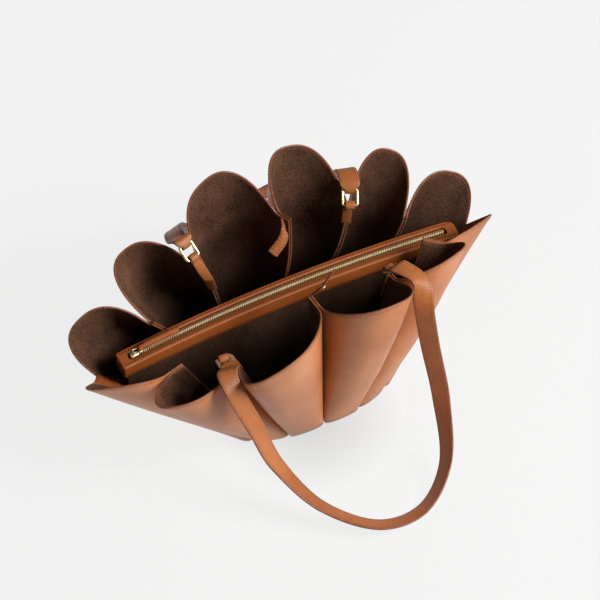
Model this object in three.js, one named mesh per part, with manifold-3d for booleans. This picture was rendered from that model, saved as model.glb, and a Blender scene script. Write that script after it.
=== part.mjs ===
// A leather tote bag in the form of a shell: twelve wedge petals round an oval base, a zipped pocket down
// the middle, two handles on square rings, and a stud closure. Millimetres, +Z up, standing on Z = 0.
// X runs along the bag, the front faces -Y, and the origin is the middle of the underside.
import * as THREE from "three";
import { mergeVertices } from "three/addons/utils/BufferGeometryUtils.js";
import Module from "manifold-3d";

// Leather and fits
const LEATHER = 2;
const GAP = 0.4;
const SEAM_GAP = 0.9;
const BASE_THICKNESS = 3;

// Oval base
const BASE_HALF_WIDTH = 100;
const BASE_HALF_DEPTH = 73.5;
const BASE_SQUARENESS = 2.5;
const BASE_FIN = 4;
const BASE_BULGE = 3;
const FOOT_LEVEL = 0.05;

// Petals
const LOBE_ROUNDNESS = 2.5;
const LOBE_STEPS = 14;
const PETAL_LEVELS = 5;
const BELLY = 6;

// The folds of each side from left to right: the inner corner of the fin at the rim, the way from that
// corner out to the crease, how far the fold bows at half height, and its place round the base in degrees
// from the bag's end.
const FRONT_FOLDS = [
  { x: -222, y: -2, z: 117, legX: 0, legY: 0, legZ: 0, bowX: 0, bowY: 0, round: 2.5 },
  { x: -138, y: -35, z: 140, legX: -22, legY: -5, legZ: -1, bowX: 0, bowY: 0, round: 50 },
  { x: -96, y: -60, z: 154, legX: 3, legY: -6, legZ: -2, bowX: 0, bowY: 0, round: 73 },
  { x: 0, y: -41, z: 180, legX: 4, legY: -21, legZ: -3, bowX: 0, bowY: 0, round: 90 },
  { x: 90, y: -42, z: 162, legX: 2, legY: -7, legZ: -2, bowX: 0, bowY: 0, round: 107 },
  { x: 142, y: -8, z: 149, legX: 18, legY: -13, legZ: -3, bowX: 0, bowY: 0, round: 130 },
  { x: 221, y: 7, z: 120, legX: 0, legY: 0, legZ: 0, bowX: 0, bowY: 0, round: 177.5 },
];
const BACK_FOLDS = [
  { x: -210, y: 18, z: 98, legX: 0, legY: 0, legZ: 0, bowX: 0, bowY: 0, round: 2.5 },
  { x: -142, y: 24, z: 138, legX: -3, legY: 4, legZ: -3, bowX: 0, bowY: 0, round: 50 },
  { x: -76, y: 33, z: 163, legX: 3, legY: 6, legZ: -4, bowX: 0, bowY: 0, round: 73 },
  { x: 19, y: 43, z: 193, legX: -6, legY: 16, legZ: -6, bowX: 7, bowY: -11, round: 90 },
  { x: 87, y: 51, z: 166, legX: 4, legY: 7, legZ: -4, bowX: 12, bowY: -7, round: 107 },
  { x: 140, y: 28, z: 140, legX: 3, legY: 5, legZ: -3, bowX: 15, bowY: -4, round: 130 },
  { x: 205, y: 20, z: 98, legX: 0, legY: 0, legZ: 0, bowX: 0, bowY: 0, round: 177.5 },
];
// The crest of each petal's rounded top, from left to right.
const FRONT_CRESTS = [
  { x: -219, y: -36, z: 151 },
  { x: -176, y: -100, z: 175 },
  { x: -77, y: -128, z: 207 },
  { x: 60, y: -110, z: 215 },
  { x: 152, y: -62, z: 184 },
  { x: 202, y: -13, z: 144 },
];
const BACK_CRESTS = [
  { x: -210, y: 52, z: 152 },
  { x: -146, y: 81, z: 195 },
  { x: -53, y: 94, z: 238 },
  { x: 44, y: 95, z: 240 },
  { x: 146, y: 74, z: 197 },
  { x: 203, y: 51, z: 153 },
];

// Strips that bind the two side seams inside
const STRIP_THICKNESS = 2;
const STRIP_INSET = 3;
const STRIP_BOTTOM = 0.06;
const STRIP_TOP = 0.95;

// Zipped pocket
const POCKET_TOP = 117;
const POCKET_HALF_LENGTH = 183;
const POCKET_HALF_TOP = 8.5;
const POCKET_HALF_BOTTOM = 3;
const POCKET_WALL = 1.6;
const POCKET_Y = 8.6;
const POCKET_BOW = 9;
const POCKET_STATIONS = [-1, -0.82, -0.66, -0.51, -0.3, -0.1, 0.1, 0.3, 0.51, 0.66, 0.82, 1];
const BAND_OVERHANG = 4;
const BAND_DROP = 15;
const BAND_THICKNESS = 2;
const SLOT_HALF_LENGTH = 177;
const SLOT_HALF_WIDTH = 5;
const TAPE_THICKNESS = 1;
const TAPE_INNER = 1.2;
const TAPE_OUTER = 6.5;
const TEETH_HALF_LENGTH = 174;
const TEETH_HALF_WIDTH = 2.4;
const TEETH_HEIGHT = 1.8;
const TOOTH_PITCH = 3;
const TOOTH_NOTCH = 1.1;
const SLIDER_LENGTH = 9;
const SLIDER_WIDTH = 8;
const SLIDER_HEIGHT = 2.4;
const SLIDER_X = -170;
const LINK_WIRE = 1.3;
const LINK_LENGTH = 9;
const LINK_WIDTH = 5.5;
const LINK_CORNER = 1.5;
const PULL_LENGTH = 47;
const PULL_WIDTH = 9;
const PULL_THICKNESS = 3.4;

// Square rings and their tabs
const RING_WIRE = 3.2;
const RING_HALF_WIDTH = 7.3;
const RING_HALF_HEIGHT = 8;
const RING_CORNER = 2;
// The middle of each ring's lower bar, the ring's turn about Z and its rise from level, in degrees.
const RINGS = [
  { name: "front_left", x: -105, y: -60, z: 161, turn: -4, rise: 24 },
  { name: "front_right", x: 89, y: -39, z: 169, turn: 16, rise: 45 },
  { name: "back_left", x: -86, y: 47, z: 187, turn: 16, rise: 36 },
  { name: "back_right", x: 87, y: 45, z: 173, turn: -24, rise: 30 },
];
const TAB_WIDTH = 10;
const TAB_LENGTH = 26;
const TAB_TURN = 265;
const TAB_THICKNESS = 2;
const TAB_CLEAR = 0.6;
const TAB_START = 0.03;

// Handles
const HANDLE_WIDTH = 21;
const HANDLE_END_WIDTH = 10.4;
const HANDLE_THICKNESS = 2.6;
const HANDLE_TAIL = 6;
const HANDLE_STEPS = 40;
// The middle line of each handle between its rings, with the direction across the strap at each point.
const FRONT_HANDLE_ROUTE = [
  { x: -115, y: -90, z: 180, acrossX: 1, acrossY: 0.1, acrossZ: 0 },
  { x: -116, y: -106, z: 174, acrossX: 1, acrossY: 0.3, acrossZ: 0 },
  { x: -100, y: -124, z: 120, acrossX: 0.9, acrossY: 0.4, acrossZ: -0.2 },
  { x: -84, y: -140, z: 66, acrossX: 0.8, acrossY: 0.5, acrossZ: -0.4 },
  { x: -54, y: -180, z: 26, acrossX: 0.6, acrossY: 0.6, acrossZ: -0.5 },
  { x: -6, y: -216, z: 10, acrossX: 0.4, acrossY: 0.8, acrossZ: -0.5 },
  { x: 40, y: -216, z: 8, acrossX: 0.2, acrossY: 0.9, acrossZ: -0.5 },
  { x: 80, y: -186, z: 22, acrossX: -0.2, acrossY: 0.8, acrossZ: -0.6 },
  { x: 98, y: -140, z: 66, acrossX: -0.6, acrossY: 0.6, acrossZ: -0.5 },
  { x: 100, y: -110, z: 120, acrossX: -0.7, acrossY: 0.6, acrossZ: -0.3 },
  { x: 100, y: -96, z: 164, acrossX: -0.8, acrossY: 0.6, acrossZ: -0.2 },
  { x: 105, y: -77, z: 187, acrossX: -0.9, acrossY: 0, acrossZ: 0.4 },
];
const BACK_HANDLE_ROUTE = [
  { x: -93, y: 70, z: 194, acrossX: 0.9, acrossY: -0.3, acrossZ: 0.3 },
  { x: -90, y: 84, z: 184, acrossX: 0.8, acrossY: -0.3, acrossZ: 0.5 },
  { x: -79, y: 106, z: 158, acrossX: 0.5, acrossY: -0.3, acrossZ: 0.8 },
  { x: -56, y: 126, z: 116, acrossX: 0.6, acrossY: -0.2, acrossZ: 0.75 },
  { x: -14, y: 154, z: 64, acrossX: 0.8, acrossY: -0.1, acrossZ: 0.55 },
  { x: 30, y: 190, z: 22, acrossX: 0.57, acrossY: 0, acrossZ: 0.82 },
  { x: 66, y: 200, z: 12, acrossX: 0.1, acrossY: 0, acrossZ: 1 },
  { x: 98, y: 184, z: 34, acrossX: -0.6, acrossY: 0.2, acrossZ: 0.75 },
  { x: 106, y: 148, z: 84, acrossX: -0.95, acrossY: 0.2, acrossZ: 0.25 },
  { x: 102, y: 112, z: 126, acrossX: -0.99, acrossY: 0.15, acrossZ: 0 },
  { x: 97, y: 94, z: 160, acrossX: -0.98, acrossY: 0.2, acrossZ: 0 },
  { x: 98, y: 77, z: 186, acrossX: -0.95, acrossY: 0.3, acrossZ: 0 },
];

// Stud closure
const CLOSURE_WIDTH = 11;
const CLOSURE_THICKNESS = 2.2;
const CLOSURE_STEPS = 8;
// Each closing strap's middle line, and the direction across it at its root and at its tip.
const FRONT_CLOSURE_ROUTE = [
  { x: 2.2, y: -35.6, z: 169 },
  { x: 14, y: -38, z: 181 },
  { x: 30, y: -34, z: 196 },
];
const FRONT_CLOSURE_ACROSS = [
  { x: -0.46, y: -0.62, z: 0.63 },
  { x: -0.46, y: -0.62, z: 0.63 },
];
const BACK_CLOSURE_ROUTE = [
  { x: 12.9, y: 47.2, z: 188 },
  { x: 9.5, y: 38, z: 188.5 },
  { x: 5, y: 31.5, z: 181.5 },
  { x: -9, y: 26, z: 172 },
];
const BACK_CLOSURE_ACROSS = [
  { x: 0.29, y: 0, z: -0.96 },
  { x: -0.08, y: -0.83, z: -0.55 },
];
const STUD_AT = 0.55;
const STUD_SIDES = 12;
const STUD_SHANK = 2;
const STUD_HEAD = 3.6;
const STUD_HEAD_THICKNESS = 1.6;

const UP = new THREE.Vector3(0, 0, 1);
const wasm = await Module();
wasm.setup();

const leather = new THREE.MeshStandardMaterial({ color: 0xb4764b, roughness: 0.5 });
const strapLeather = new THREE.MeshStandardMaterial({ color: 0x99582f, roughness: 0.5 });
const suede = new THREE.MeshStandardMaterial({ color: 0x4a3529, roughness: 0.95 });
const tapeCloth = new THREE.MeshStandardMaterial({ color: 0x8a5a2c, roughness: 0.9 });
const gold = new THREE.MeshStandardMaterial({ color: 0xd9b978, roughness: 0.25, metalness: 1 });

const bag = new THREE.Group();
bag.name = "tote_bag";
const groups = {};
for (const name of ["front", "back", "pocket", "zip", "straps"]) {
  groups[name] = new THREE.Group();
  bag.add(groups[name]);
}

function addMesh(name, geometry, material, parent = bag) {
  const mesh = new THREE.Mesh(geometry, material.clone());
  mesh.name = name;
  parent.add(mesh);
  return mesh;
}

const vec = ({ x, y, z }) => new THREE.Vector3(x, y, z);
const mix = (a, b, t) => a.clone().lerp(b, t);
const along = (p, direction, length) => p.clone().addScaledVector(direction, length);
const signedPower = (value, power) => Math.sign(value) * Math.abs(value) ** power;

// A solid through rings of points in the same order. An open loft is capped by strips that pair the first
// half of a ring with its second half; a closed one joins its last ring to its first.
function loft(rings, closed = false) {
  const n = rings[0].length;
  const index = [];
  const joints = closed ? rings.length : rings.length - 1;
  for (let r = 0; r < joints; r++) {
    const here = r * n;
    const next = ((r + 1) % rings.length) * n;
    for (let i = 0; i < n; i++) {
      const j = (i + 1) % n;
      index.push(here + i, here + j, next + j, here + i, next + j, next + i);
    }
  }
  if (!closed) {
    const last = (rings.length - 1) * n;
    for (let i = 0; i < n / 2 - 1; i++) {
      const [a, b, c, d] = [i, i + 1, n - 2 - i, n - 1 - i];
      index.push(a, c, b, a, d, c);
      index.push(last + a, last + b, last + c, last + a, last + c, last + d);
    }
  }
  const geometry = new THREE.BufferGeometry().setFromPoints(rings.flat());
  geometry.setIndex(signedVolume(rings.flat(), index) < 0 ? index.reverse() : index);
  geometry.computeVertexNormals();
  return geometry;
}

function signedVolume(points, index) {
  let sum = 0;
  for (let i = 0; i < index.length; i += 3) {
    const [a, b, c] = [points[index[i]], points[index[i + 1]], points[index[i + 2]]];
    sum += a.dot(b.clone().cross(c));
  }
  return sum;
}

// Boolean work on closed geometry
function toSolid(geometry) {
  const bare = geometry.clone();
  bare.deleteAttribute("normal");
  bare.deleteAttribute("uv");
  const merged = mergeVertices(bare, 1e-4);
  return new wasm.Manifold(
    new wasm.Mesh({
      numProp: 3,
      vertProperties: new Float32Array(merged.attributes.position.array),
      triVerts: new Uint32Array(merged.index.array),
    }),
  );
}

function toGeometry(solid) {
  const mesh = solid.getMesh();
  const geometry = new THREE.BufferGeometry();
  geometry.setAttribute("position", new THREE.BufferAttribute(mesh.vertProperties, 3));
  geometry.setIndex(new THREE.BufferAttribute(mesh.triVerts, 1));
  geometry.computeVertexNormals();
  return geometry;
}

// Base outline: a point on the oval, a number of degrees round from the left end; side is -1 in front.
function ovalPoint(degrees, side) {
  const a = THREE.MathUtils.degToRad(degrees);
  const power = 2 / BASE_SQUARENESS;
  return new THREE.Vector3(
    -BASE_HALF_WIDTH * signedPower(Math.cos(a), power),
    side * BASE_HALF_DEPTH * signedPower(Math.sin(a), power),
    0,
  );
}

// A fold at the floor and at the rim: the fin's inner corner and the crease that it runs out to.
function foldEnds(fold, side) {
  const corner = vec(fold);
  const leg = new THREE.Vector3(fold.legX, fold.legY, fold.legZ);
  const baseCrease = ovalPoint(fold.round, side);
  const inward = baseCrease.clone().normalize().multiplyScalar(-BASE_FIN);
  const hasFin = leg.lengthSq() > 0;
  return {
    hasFin,
    bow: new THREE.Vector3(fold.bowX, fold.bowY, 0),
    rim: { corner, crease: corner.clone().add(leg) },
    floor: { corner: hasFin ? baseCrease.clone().add(inward) : baseCrease, crease: baseCrease },
  };
}

// A fold's corner and crease; level runs from 0 at the floor to 1 at the rim.
function foldAt({ floor, rim, bow }, level) {
  const swing = Math.sin(Math.PI * level);
  return {
    corner: along(mix(floor.corner, rim.corner, level), bow, swing),
    crease: along(mix(floor.crease, rim.crease, level), bow, swing),
  };
}

// Half the seam's thickness to one side of a fin, towards the petal that it belongs to.
function besideFin(end, towards, hasFin) {
  if (!hasFin) return { corner: end.corner.clone(), crease: end.crease.clone() };
  const leg = end.crease.clone().sub(end.corner);
  const aside = UP.clone().cross(leg).normalize();
  if (aside.dot(towards.clone().sub(end.crease)) < 0) aside.negate();
  const shift = (LEATHER + SEAM_GAP) / 2;
  return { corner: along(end.corner, aside, shift), crease: along(end.crease, aside, shift) };
}

// The middle line of a petal at one height: in along one fin, round the lobe and back along the other fin.
function petalLine(left, right, crest, hasLeftFin, hasRightFin) {
  const middle = mix(left.crease, right.crease, 0.5);
  const half = right.crease.clone().sub(middle);
  const rise = crest.clone().sub(middle);
  const power = 2 / LOBE_ROUNDNESS;
  const points = [];
  for (let i = 0; i <= LOBE_STEPS; i++) {
    const a = (Math.PI * i) / LOBE_STEPS;
    const across = -signedPower(Math.cos(a), power);
    const out = signedPower(Math.sin(a), power);
    points.push(along(along(middle, half, across), rise, out));
  }
  if (hasLeftFin) points.unshift(left.corner.clone());
  if (hasRightFin) points.push(right.corner.clone());
  return points;
}

// The petal between two folds: its middle line at any level, and the way it bellies out.
function petalEdges(folds, crests, number, side) {
  const [a, b] = [foldEnds(folds[number], side), foldEnds(folds[number + 1], side)];
  const middleRound = (folds[number].round + folds[number + 1].round) / 2;
  const floorCrest = ovalPoint(middleRound, side);
  floorCrest.addScaledVector(floorCrest.clone().normalize(), BASE_BULGE);
  const rimCrest = vec(crests[number]);
  const lineAt = (level) => {
    const [left, right] = [foldAt(a, level), foldAt(b, level)];
    return petalLine(
      besideFin(left, right.crease, a.hasFin),
      besideFin(right, left.crease, b.hasFin),
      mix(floorCrest, rimCrest, level),
      a.hasFin,
      b.hasFin,
    );
  };
  const belly = rimCrest.clone().sub(mix(a.rim.crease, b.rim.crease, 0.5)).setZ(0).normalize();
  return { lineAt, belly, leftFin: a.hasFin };
}

// The petal's middle line with its belly; level runs from 0 at the floor to 1 at the rim.
function petalPoints({ lineAt, belly, leftFin }, level) {
  return lineAt(level).map((point, i) => {
    const lobeStep = THREE.MathUtils.clamp(leftFin ? i - 1 : i, 0, LOBE_STEPS);
    const out = Math.sin((Math.PI * lobeStep) / LOBE_STEPS);
    return along(point, belly, BELLY * out * Math.sin(Math.PI * level));
  });
}

// One level of the petal as points pushed off its middle surface, outwards where offset is positive.
function petalRow(edges, offset, level) {
  const small = 1e-3;
  const normals = (at) => {
    const here = petalPoints(edges, at);
    const above = petalPoints(edges, Math.min(at + small, 1));
    const below = petalPoints(edges, Math.max(at - small, 0));
    return here.map((_, i) => {
      const acrossStep = here[Math.min(i + 1, here.length - 1)].clone().sub(here[Math.max(i - 1, 0)]);
      const n = acrossStep.cross(above[i].clone().sub(below[i]));
      if (at === 0) n.setZ(0);
      return n.normalize();
    });
  };
  const middle = normals(0.5);
  const outwards = Math.sign(middle[Math.floor(middle.length / 2)].dot(edges.belly));
  const turned = normals(level);
  return petalPoints(edges, level).map((point, i) => along(point, turned[i], outwards * offset));
}

// The leather at one level: the outer row and the inner row. A swell thickens it, also past its ends.
function petalRows(edges, level, swell = 0) {
  const rows = [1, -1].map((face) => petalRow(edges, face * (LEATHER / 2 + swell), level));
  for (const row of rows) {
    const [first, last] = [row[0].clone().sub(row[1]), row.at(-1).clone().sub(row.at(-2))];
    row[0].addScaledVector(first.normalize(), swell);
    row.at(-1).addScaledVector(last.normalize(), swell);
  }
  return rows;
}
const closeRows = ([outer, inner]) => [...outer, ...inner.toReversed()];

const SIDES = [
  { name: "front", sign: -1, folds: FRONT_FOLDS, crests: FRONT_CRESTS },
  { name: "back", sign: 1, folds: BACK_FOLDS, crests: BACK_CRESTS },
];

const petals = SIDES.flatMap(({ name, sign, folds, crests }) =>
  crests.map((_, i) => ({
    name: `${name}_petal_${i + 1}`,
    sign,
    side: groups[name],
    edges: petalEdges(folds, crests, i, sign),
  })),
);
for (const { name, edges, side } of petals) {
  const levels = Array.from({ length: PETAL_LEVELS + 1 }, (_, k) => k / PETAL_LEVELS);
  const solid = loft(levels.map((level) => closeRows(petalRows(edges, level))));
  addMesh(name, solid, leather, side);
}

// Base panel: the slab inside the petals' middle lines, less their feet with a clearance round them.
{
  const sparse = (row) => row.filter((_, i) => i < 2 || i > row.length - 3 || i % 2 === 1);
  const ofSide = (sign) => petals.filter((petal) => petal.sign === sign);
  const floorLine = (sign) => ofSide(sign).flatMap(({ edges }) => sparse(edges.lineAt(0)));
  const outline = [...floorLine(-1), ...floorLine(1).reverse()];
  const shape = new THREE.Shape(outline.map(({ x, y }) => new THREE.Vector2(x, y)));
  let panel = toSolid(new THREE.ExtrudeGeometry(shape, { depth: BASE_THICKNESS, bevelEnabled: false }));
  for (const { edges } of petals) {
    const rings = [0, 0, FOOT_LEVEL].map((level) => closeRows(petalRows(edges, level, 2 * GAP).map(sparse)));
    rings[0].forEach((point) => point.setZ(-1));
    panel = panel.subtract(toSolid(loft(rings)));
  }
  addMesh("base_panel", toGeometry(panel), leather);
}

// Side strips between the front and back side seams
const sideLine = (folds, sign, left) => {
  const fold = foldEnds(left ? folds[0] : folds.at(-1), sign);
  return (level) => mix(fold.floor.crease, fold.rim.crease, level);
};
for (const left of [true, false]) {
  const inward = new THREE.Vector3(left ? 1 : -1, 0, 0);
  const [front, back] = SIDES.map(({ folds, sign }) => sideLine(folds, sign, left));
  const rings = [STRIP_BOTTOM, 0.5, STRIP_TOP].map((level) => {
    const outer = [along(front(level), inward, STRIP_INSET), along(back(level), inward, STRIP_INSET)];
    const inner = outer.map((p) => along(p, inward, STRIP_THICKNESS)).reverse();
    return [...outer, ...inner];
  });
  addMesh(`side_strip_${left ? "left" : "right"}`, loft(rings), leather);
}

// Pocket: pieces lofted along X, bowed backwards in the middle and leaning forwards to the floor
const pocketShift = (x, z) => {
  const bow = POCKET_BOW * (1 - (x / POCKET_HALF_LENGTH) ** 2);
  return (POCKET_Y + bow) * (z / POCKET_TOP);
};
const pocketRing = (x, profile) =>
  profile.map(([y, z]) => new THREE.Vector3(x, y + pocketShift(x, z), z));
const pocketLoft = (halfLength, profileAt) =>
  loft(POCKET_STATIONS.map((s) => pocketRing(s * halfLength, profileAt(s * halfLength))));

function pouchProfile(x) {
  const floorZ = BASE_THICKNESS + GAP;
  const { x: tipX, z: tipZ } = FRONT_FOLDS.at(-1);
  const slope = tipZ / (Math.abs(tipX) - BASE_HALF_WIDTH);
  const clear = STRIP_INSET + STRIP_THICKNESS + 2 * GAP;
  const bottom = Math.max(floorZ, (Math.abs(x) + clear - BASE_HALF_WIDTH) * slope);
  const share = (bottom - floorZ) / (POCKET_TOP - floorZ);
  const low = POCKET_HALF_BOTTOM + (POCKET_HALF_TOP - POCKET_HALF_BOTTOM) * share;
  const [inTop, inLow] = [POCKET_HALF_TOP - POCKET_WALL, low - POCKET_WALL];
  return [
    [-POCKET_HALF_TOP, POCKET_TOP],
    [-low, bottom],
    [low, bottom],
    [POCKET_HALF_TOP, POCKET_TOP],
    [inTop, POCKET_TOP],
    [inLow, bottom + POCKET_WALL],
    [-inLow, bottom + POCKET_WALL],
    [-inTop, POCKET_TOP],
  ];
}
addMesh("pocket_pouch", pocketLoft(POCKET_HALF_LENGTH, pouchProfile), suede, groups.pocket);

const rectangle = (y0, y1, z0, z1) => [[y0, z0], [y0, z1], [y1, z1], [y1, z0]];
const BAND_TOP = POCKET_TOP + GAP + BAND_THICKNESS;
{
  const inside = POCKET_HALF_TOP + GAP;
  const outside = inside + BAND_THICKNESS;
  const low = BAND_TOP - BAND_DROP;
  const halfLength = POCKET_HALF_LENGTH + BAND_OVERHANG;
  const profile = [
    [-outside, low],
    [-outside, BAND_TOP],
    [outside, BAND_TOP],
    [outside, low],
    [inside, low],
    [inside, POCKET_TOP + GAP],
    [-inside, POCKET_TOP + GAP],
    [-inside, low],
  ];
  const slotProfile = rectangle(-SLOT_HALF_WIDTH, SLOT_HALF_WIDTH, POCKET_TOP, BAND_TOP + 1);
  let band = toSolid(pocketLoft(halfLength, () => profile));
  band = band.subtract(toSolid(pocketLoft(SLOT_HALF_LENGTH, () => slotProfile)));
  for (const end of [-1, 1]) {
    const wall = [halfLength - BAND_THICKNESS, halfLength].map((x) =>
      pocketRing(end * x, rectangle(-outside, outside, low, BAND_TOP)),
    );
    band = band.add(toSolid(loft(wall)));
  }
  addMesh("pocket_band", toGeometry(band), strapLeather, groups.pocket);
}

// Zip: two tapes, one run of teeth, the slider, its link and the leather pull
const TAPE_TOP = POCKET_TOP + GAP / 4;
for (const [name, side] of [["front", -1], ["back", 1]]) {
  const [y0, y1] = [TAPE_INNER * side, TAPE_OUTER * side];
  const profile = rectangle(Math.min(y0, y1), Math.max(y0, y1), TAPE_TOP - TAPE_THICKNESS, TAPE_TOP);
  addMesh(`zip_tape_${name}`, pocketLoft(SLOT_HALF_LENGTH, () => profile), tapeCloth, groups.zip);
}
const TEETH_LOW = TAPE_TOP + GAP;
{
  const count = Math.round((2 * TEETH_HALF_LENGTH) / TOOTH_PITCH);
  const edgePoint = (step, side) => {
    const x = -TEETH_HALF_LENGTH + (step * TOOTH_PITCH) / 2;
    const reach = step % 2 ? TEETH_HALF_WIDTH : TEETH_HALF_WIDTH - TOOTH_NOTCH;
    return new THREE.Vector3(x, side * reach + pocketShift(x, TEETH_LOW), TEETH_LOW);
  };
  const rings = Array.from({ length: 2 * count + 1 }, (_, step) => {
    const low = [edgePoint(step, -1), edgePoint(step, 1)];
    return [...low, ...low.map((p) => along(p, UP, TEETH_HEIGHT)).reverse()];
  });
  addMesh("zip_teeth", loft(rings), gold, groups.zip);
}
const SLIDER_LOW = TEETH_LOW + TEETH_HEIGHT + GAP;
const zipY = (x) => pocketShift(x, TEETH_LOW);
{
  const ring = (t) => {
    const x = SLIDER_X + (t - 0.5) * SLIDER_LENGTH;
    const half = (SLIDER_WIDTH / 2) * (1 - 0.35 * t);
    const crown = SLIDER_HEIGHT * (0.55 + 0.45 * Math.sin(Math.PI * t));
    const y = zipY(SLIDER_X);
    return [
      new THREE.Vector3(x, y - half, SLIDER_LOW),
      new THREE.Vector3(x, y - 0.6 * half, SLIDER_LOW + crown),
      new THREE.Vector3(x, y + 0.6 * half, SLIDER_LOW + crown),
      new THREE.Vector3(x, y + half, SLIDER_LOW),
    ];
  };
  addMesh("zip_slider", loft([0, 0.25, 0.5, 0.75, 1].map(ring)), gold, groups.zip);
}

// A closed wire round a rectangle with rounded corners, in the XY plane round the origin
function wireFrame(halfWidth, halfHeight, corner, wire, sides = 6) {
  const rings = [];
  for (let k = 0; k < 4; k++) {
    const x = (k === 0 || k === 3 ? 1 : -1) * (halfWidth - corner);
    const y = (k < 2 ? 1 : -1) * (halfHeight - corner);
    for (const part of [0, 0.5, 1]) {
      const a = ((k + part) * Math.PI) / 2;
      const out = new THREE.Vector3(Math.cos(a), Math.sin(a), 0);
      const p = along(new THREE.Vector3(x, y, 0), out, corner);
      const section = Array.from({ length: sides }, (_, i) => {
        const b = (2 * Math.PI * i) / sides;
        return along(along(p, out, (wire / 2) * Math.cos(b)), UP, (wire / 2) * Math.sin(b));
      });
      rings.push(section);
    }
  }
  return loft(rings, true);
}

const LINK_Z = SLIDER_LOW + SLIDER_HEIGHT + LINK_WIRE / 2 + GAP;
const LINK_X = SLIDER_X + LINK_LENGTH / 2 - 1;
const linkWire = wireFrame(LINK_LENGTH / 2, LINK_WIDTH / 2, LINK_CORNER, LINK_WIRE);
const link = addMesh("zip_link", linkWire, gold, groups.zip);
link.position.set(LINK_X, zipY(LINK_X), LINK_Z);
{
  const low = LINK_Z + LINK_WIRE / 2 + GAP;
  const start = LINK_X + LINK_LENGTH / 2 - 3;
  const rings = [0, 0.04, 0.14, 0.5, 0.86, 1].map((t) => {
    const x = start + t * PULL_LENGTH;
    const half = (PULL_WIDTH / 2) * (t === 0 ? 0.55 : t < 0.14 ? 0.7 : 1);
    const y = zipY(x);
    const crown = PULL_THICKNESS * (t === 0 || t === 1 ? 0.7 : 1);
    return [
      new THREE.Vector3(x, y - half, low),
      new THREE.Vector3(x, y - half, low + 0.4 * crown),
      new THREE.Vector3(x, y - 0.55 * half, low + crown),
      new THREE.Vector3(x, y + 0.55 * half, low + crown),
      new THREE.Vector3(x, y + half, low + 0.4 * crown),
      new THREE.Vector3(x, y + half, low),
    ];
  });
  addMesh("zip_pull", loft(rings), strapLeather, groups.zip);
}

// A strap from stations that give a point, the direction across it and a width.
function strap(stations, thickness) {
  const rings = stations.map(({ p, across, width }, i) => {
    const before = stations[Math.max(i - 1, 0)].p;
    const after = stations[Math.min(i + 1, stations.length - 1)].p;
    const tangent = after.clone().sub(before).normalize();
    const side = along(across, tangent, -across.dot(tangent)).normalize();
    const face = tangent.clone().cross(side);
    const corner = (s, f) => along(along(p, side, (s * width) / 2), face, (f * thickness) / 2);
    return [corner(-1, -1), corner(1, -1), corner(1, 1), corner(-1, 1)];
  });
  return loft(rings);
}

// A turn of strap round a bar: from beside it, round the side away from the strap's run, and back.
function loopRound(bar, run, normal, reach, degrees = 180, steps = 6) {
  return Array.from({ length: steps + 1 }, (_, i) => {
    const a = THREE.MathUtils.degToRad((degrees * i) / steps);
    return along(along(bar, normal, -reach * Math.cos(a)), run, -reach * Math.sin(a));
  });
}

const TABBED_FOLDS = {
  front_left: { fold: FRONT_FOLDS[2], sign: -1 },
  front_right: { fold: FRONT_FOLDS[4], sign: -1 },
  back_left: { fold: BACK_FOLDS[2], sign: 1 },
  back_right: { fold: BACK_FOLDS[4], sign: 1 },
};
const ringFrames = {};
for (const { name, turn, rise, ...seat } of RINGS) {
  const { fold, sign } = TABBED_FOLDS[name];
  const across = new THREE.Vector3(1, 0, 0).applyAxisAngle(UP, THREE.MathUtils.degToRad(turn));
  const outward = UP.clone().cross(across).multiplyScalar(sign);
  const tilt = THREE.MathUtils.degToRad(rise);
  const up = outward.clone().multiplyScalar(Math.cos(tilt)).addScaledVector(UP, Math.sin(tilt));
  const lowBar = vec(seat);
  const highBar = along(lowBar, up, 2 * RING_HALF_HEIGHT);
  const topSide = across.clone().cross(up).multiplyScalar(sign);
  ringFrames[name] = { across, up, topSide, highBar };
  const ringSeat = new THREE.Group();
  ringSeat.position.copy(lowBar);
  const axes = new THREE.Matrix4().makeBasis(across, up, across.clone().cross(up));
  ringSeat.quaternion.setFromRotationMatrix(axes);
  groups.straps.add(ringSeat);
  const wire = wireFrame(RING_HALF_WIDTH, RING_HALF_HEIGHT, RING_CORNER, RING_WIRE);
  addMesh(`ring_${name}`, wire, gold, ringSeat).position.y = RING_HALF_HEIGHT;

  // The tab loops the ring's lower bar and runs flat down the fin's inner edge.
  const ends = foldEnds(fold, sign);
  const reach = RING_WIRE / 2 + 2.5 * GAP + TAB_THICKNESS / 2;
  const loop = loopRound(lowBar, up.clone().negate(), topSide, reach, TAB_TURN);
  const inward = new THREE.Vector3(-fold.legX, -fold.legY, 0).normalize();
  const flush = inward.clone().cross(UP).multiplyScalar(-sign);
  const run = [TAB_START, 0.5, 1].map((t) => {
    const { corner } = foldAt(ends, 1 - (t * TAB_LENGTH) / fold.z);
    return along(corner, inward, TAB_THICKNESS / 2 + TAB_CLEAR);
  });
  const stations = [
    ...loop.map((p) => ({ p, across, width: TAB_WIDTH })),
    ...run.map((p) => ({ p, across: flush, width: TAB_WIDTH })),
  ];
  addMesh(`ring_tab_${name}`, strap(stations, TAB_THICKNESS), strapLeather, groups.straps);
}

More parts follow.
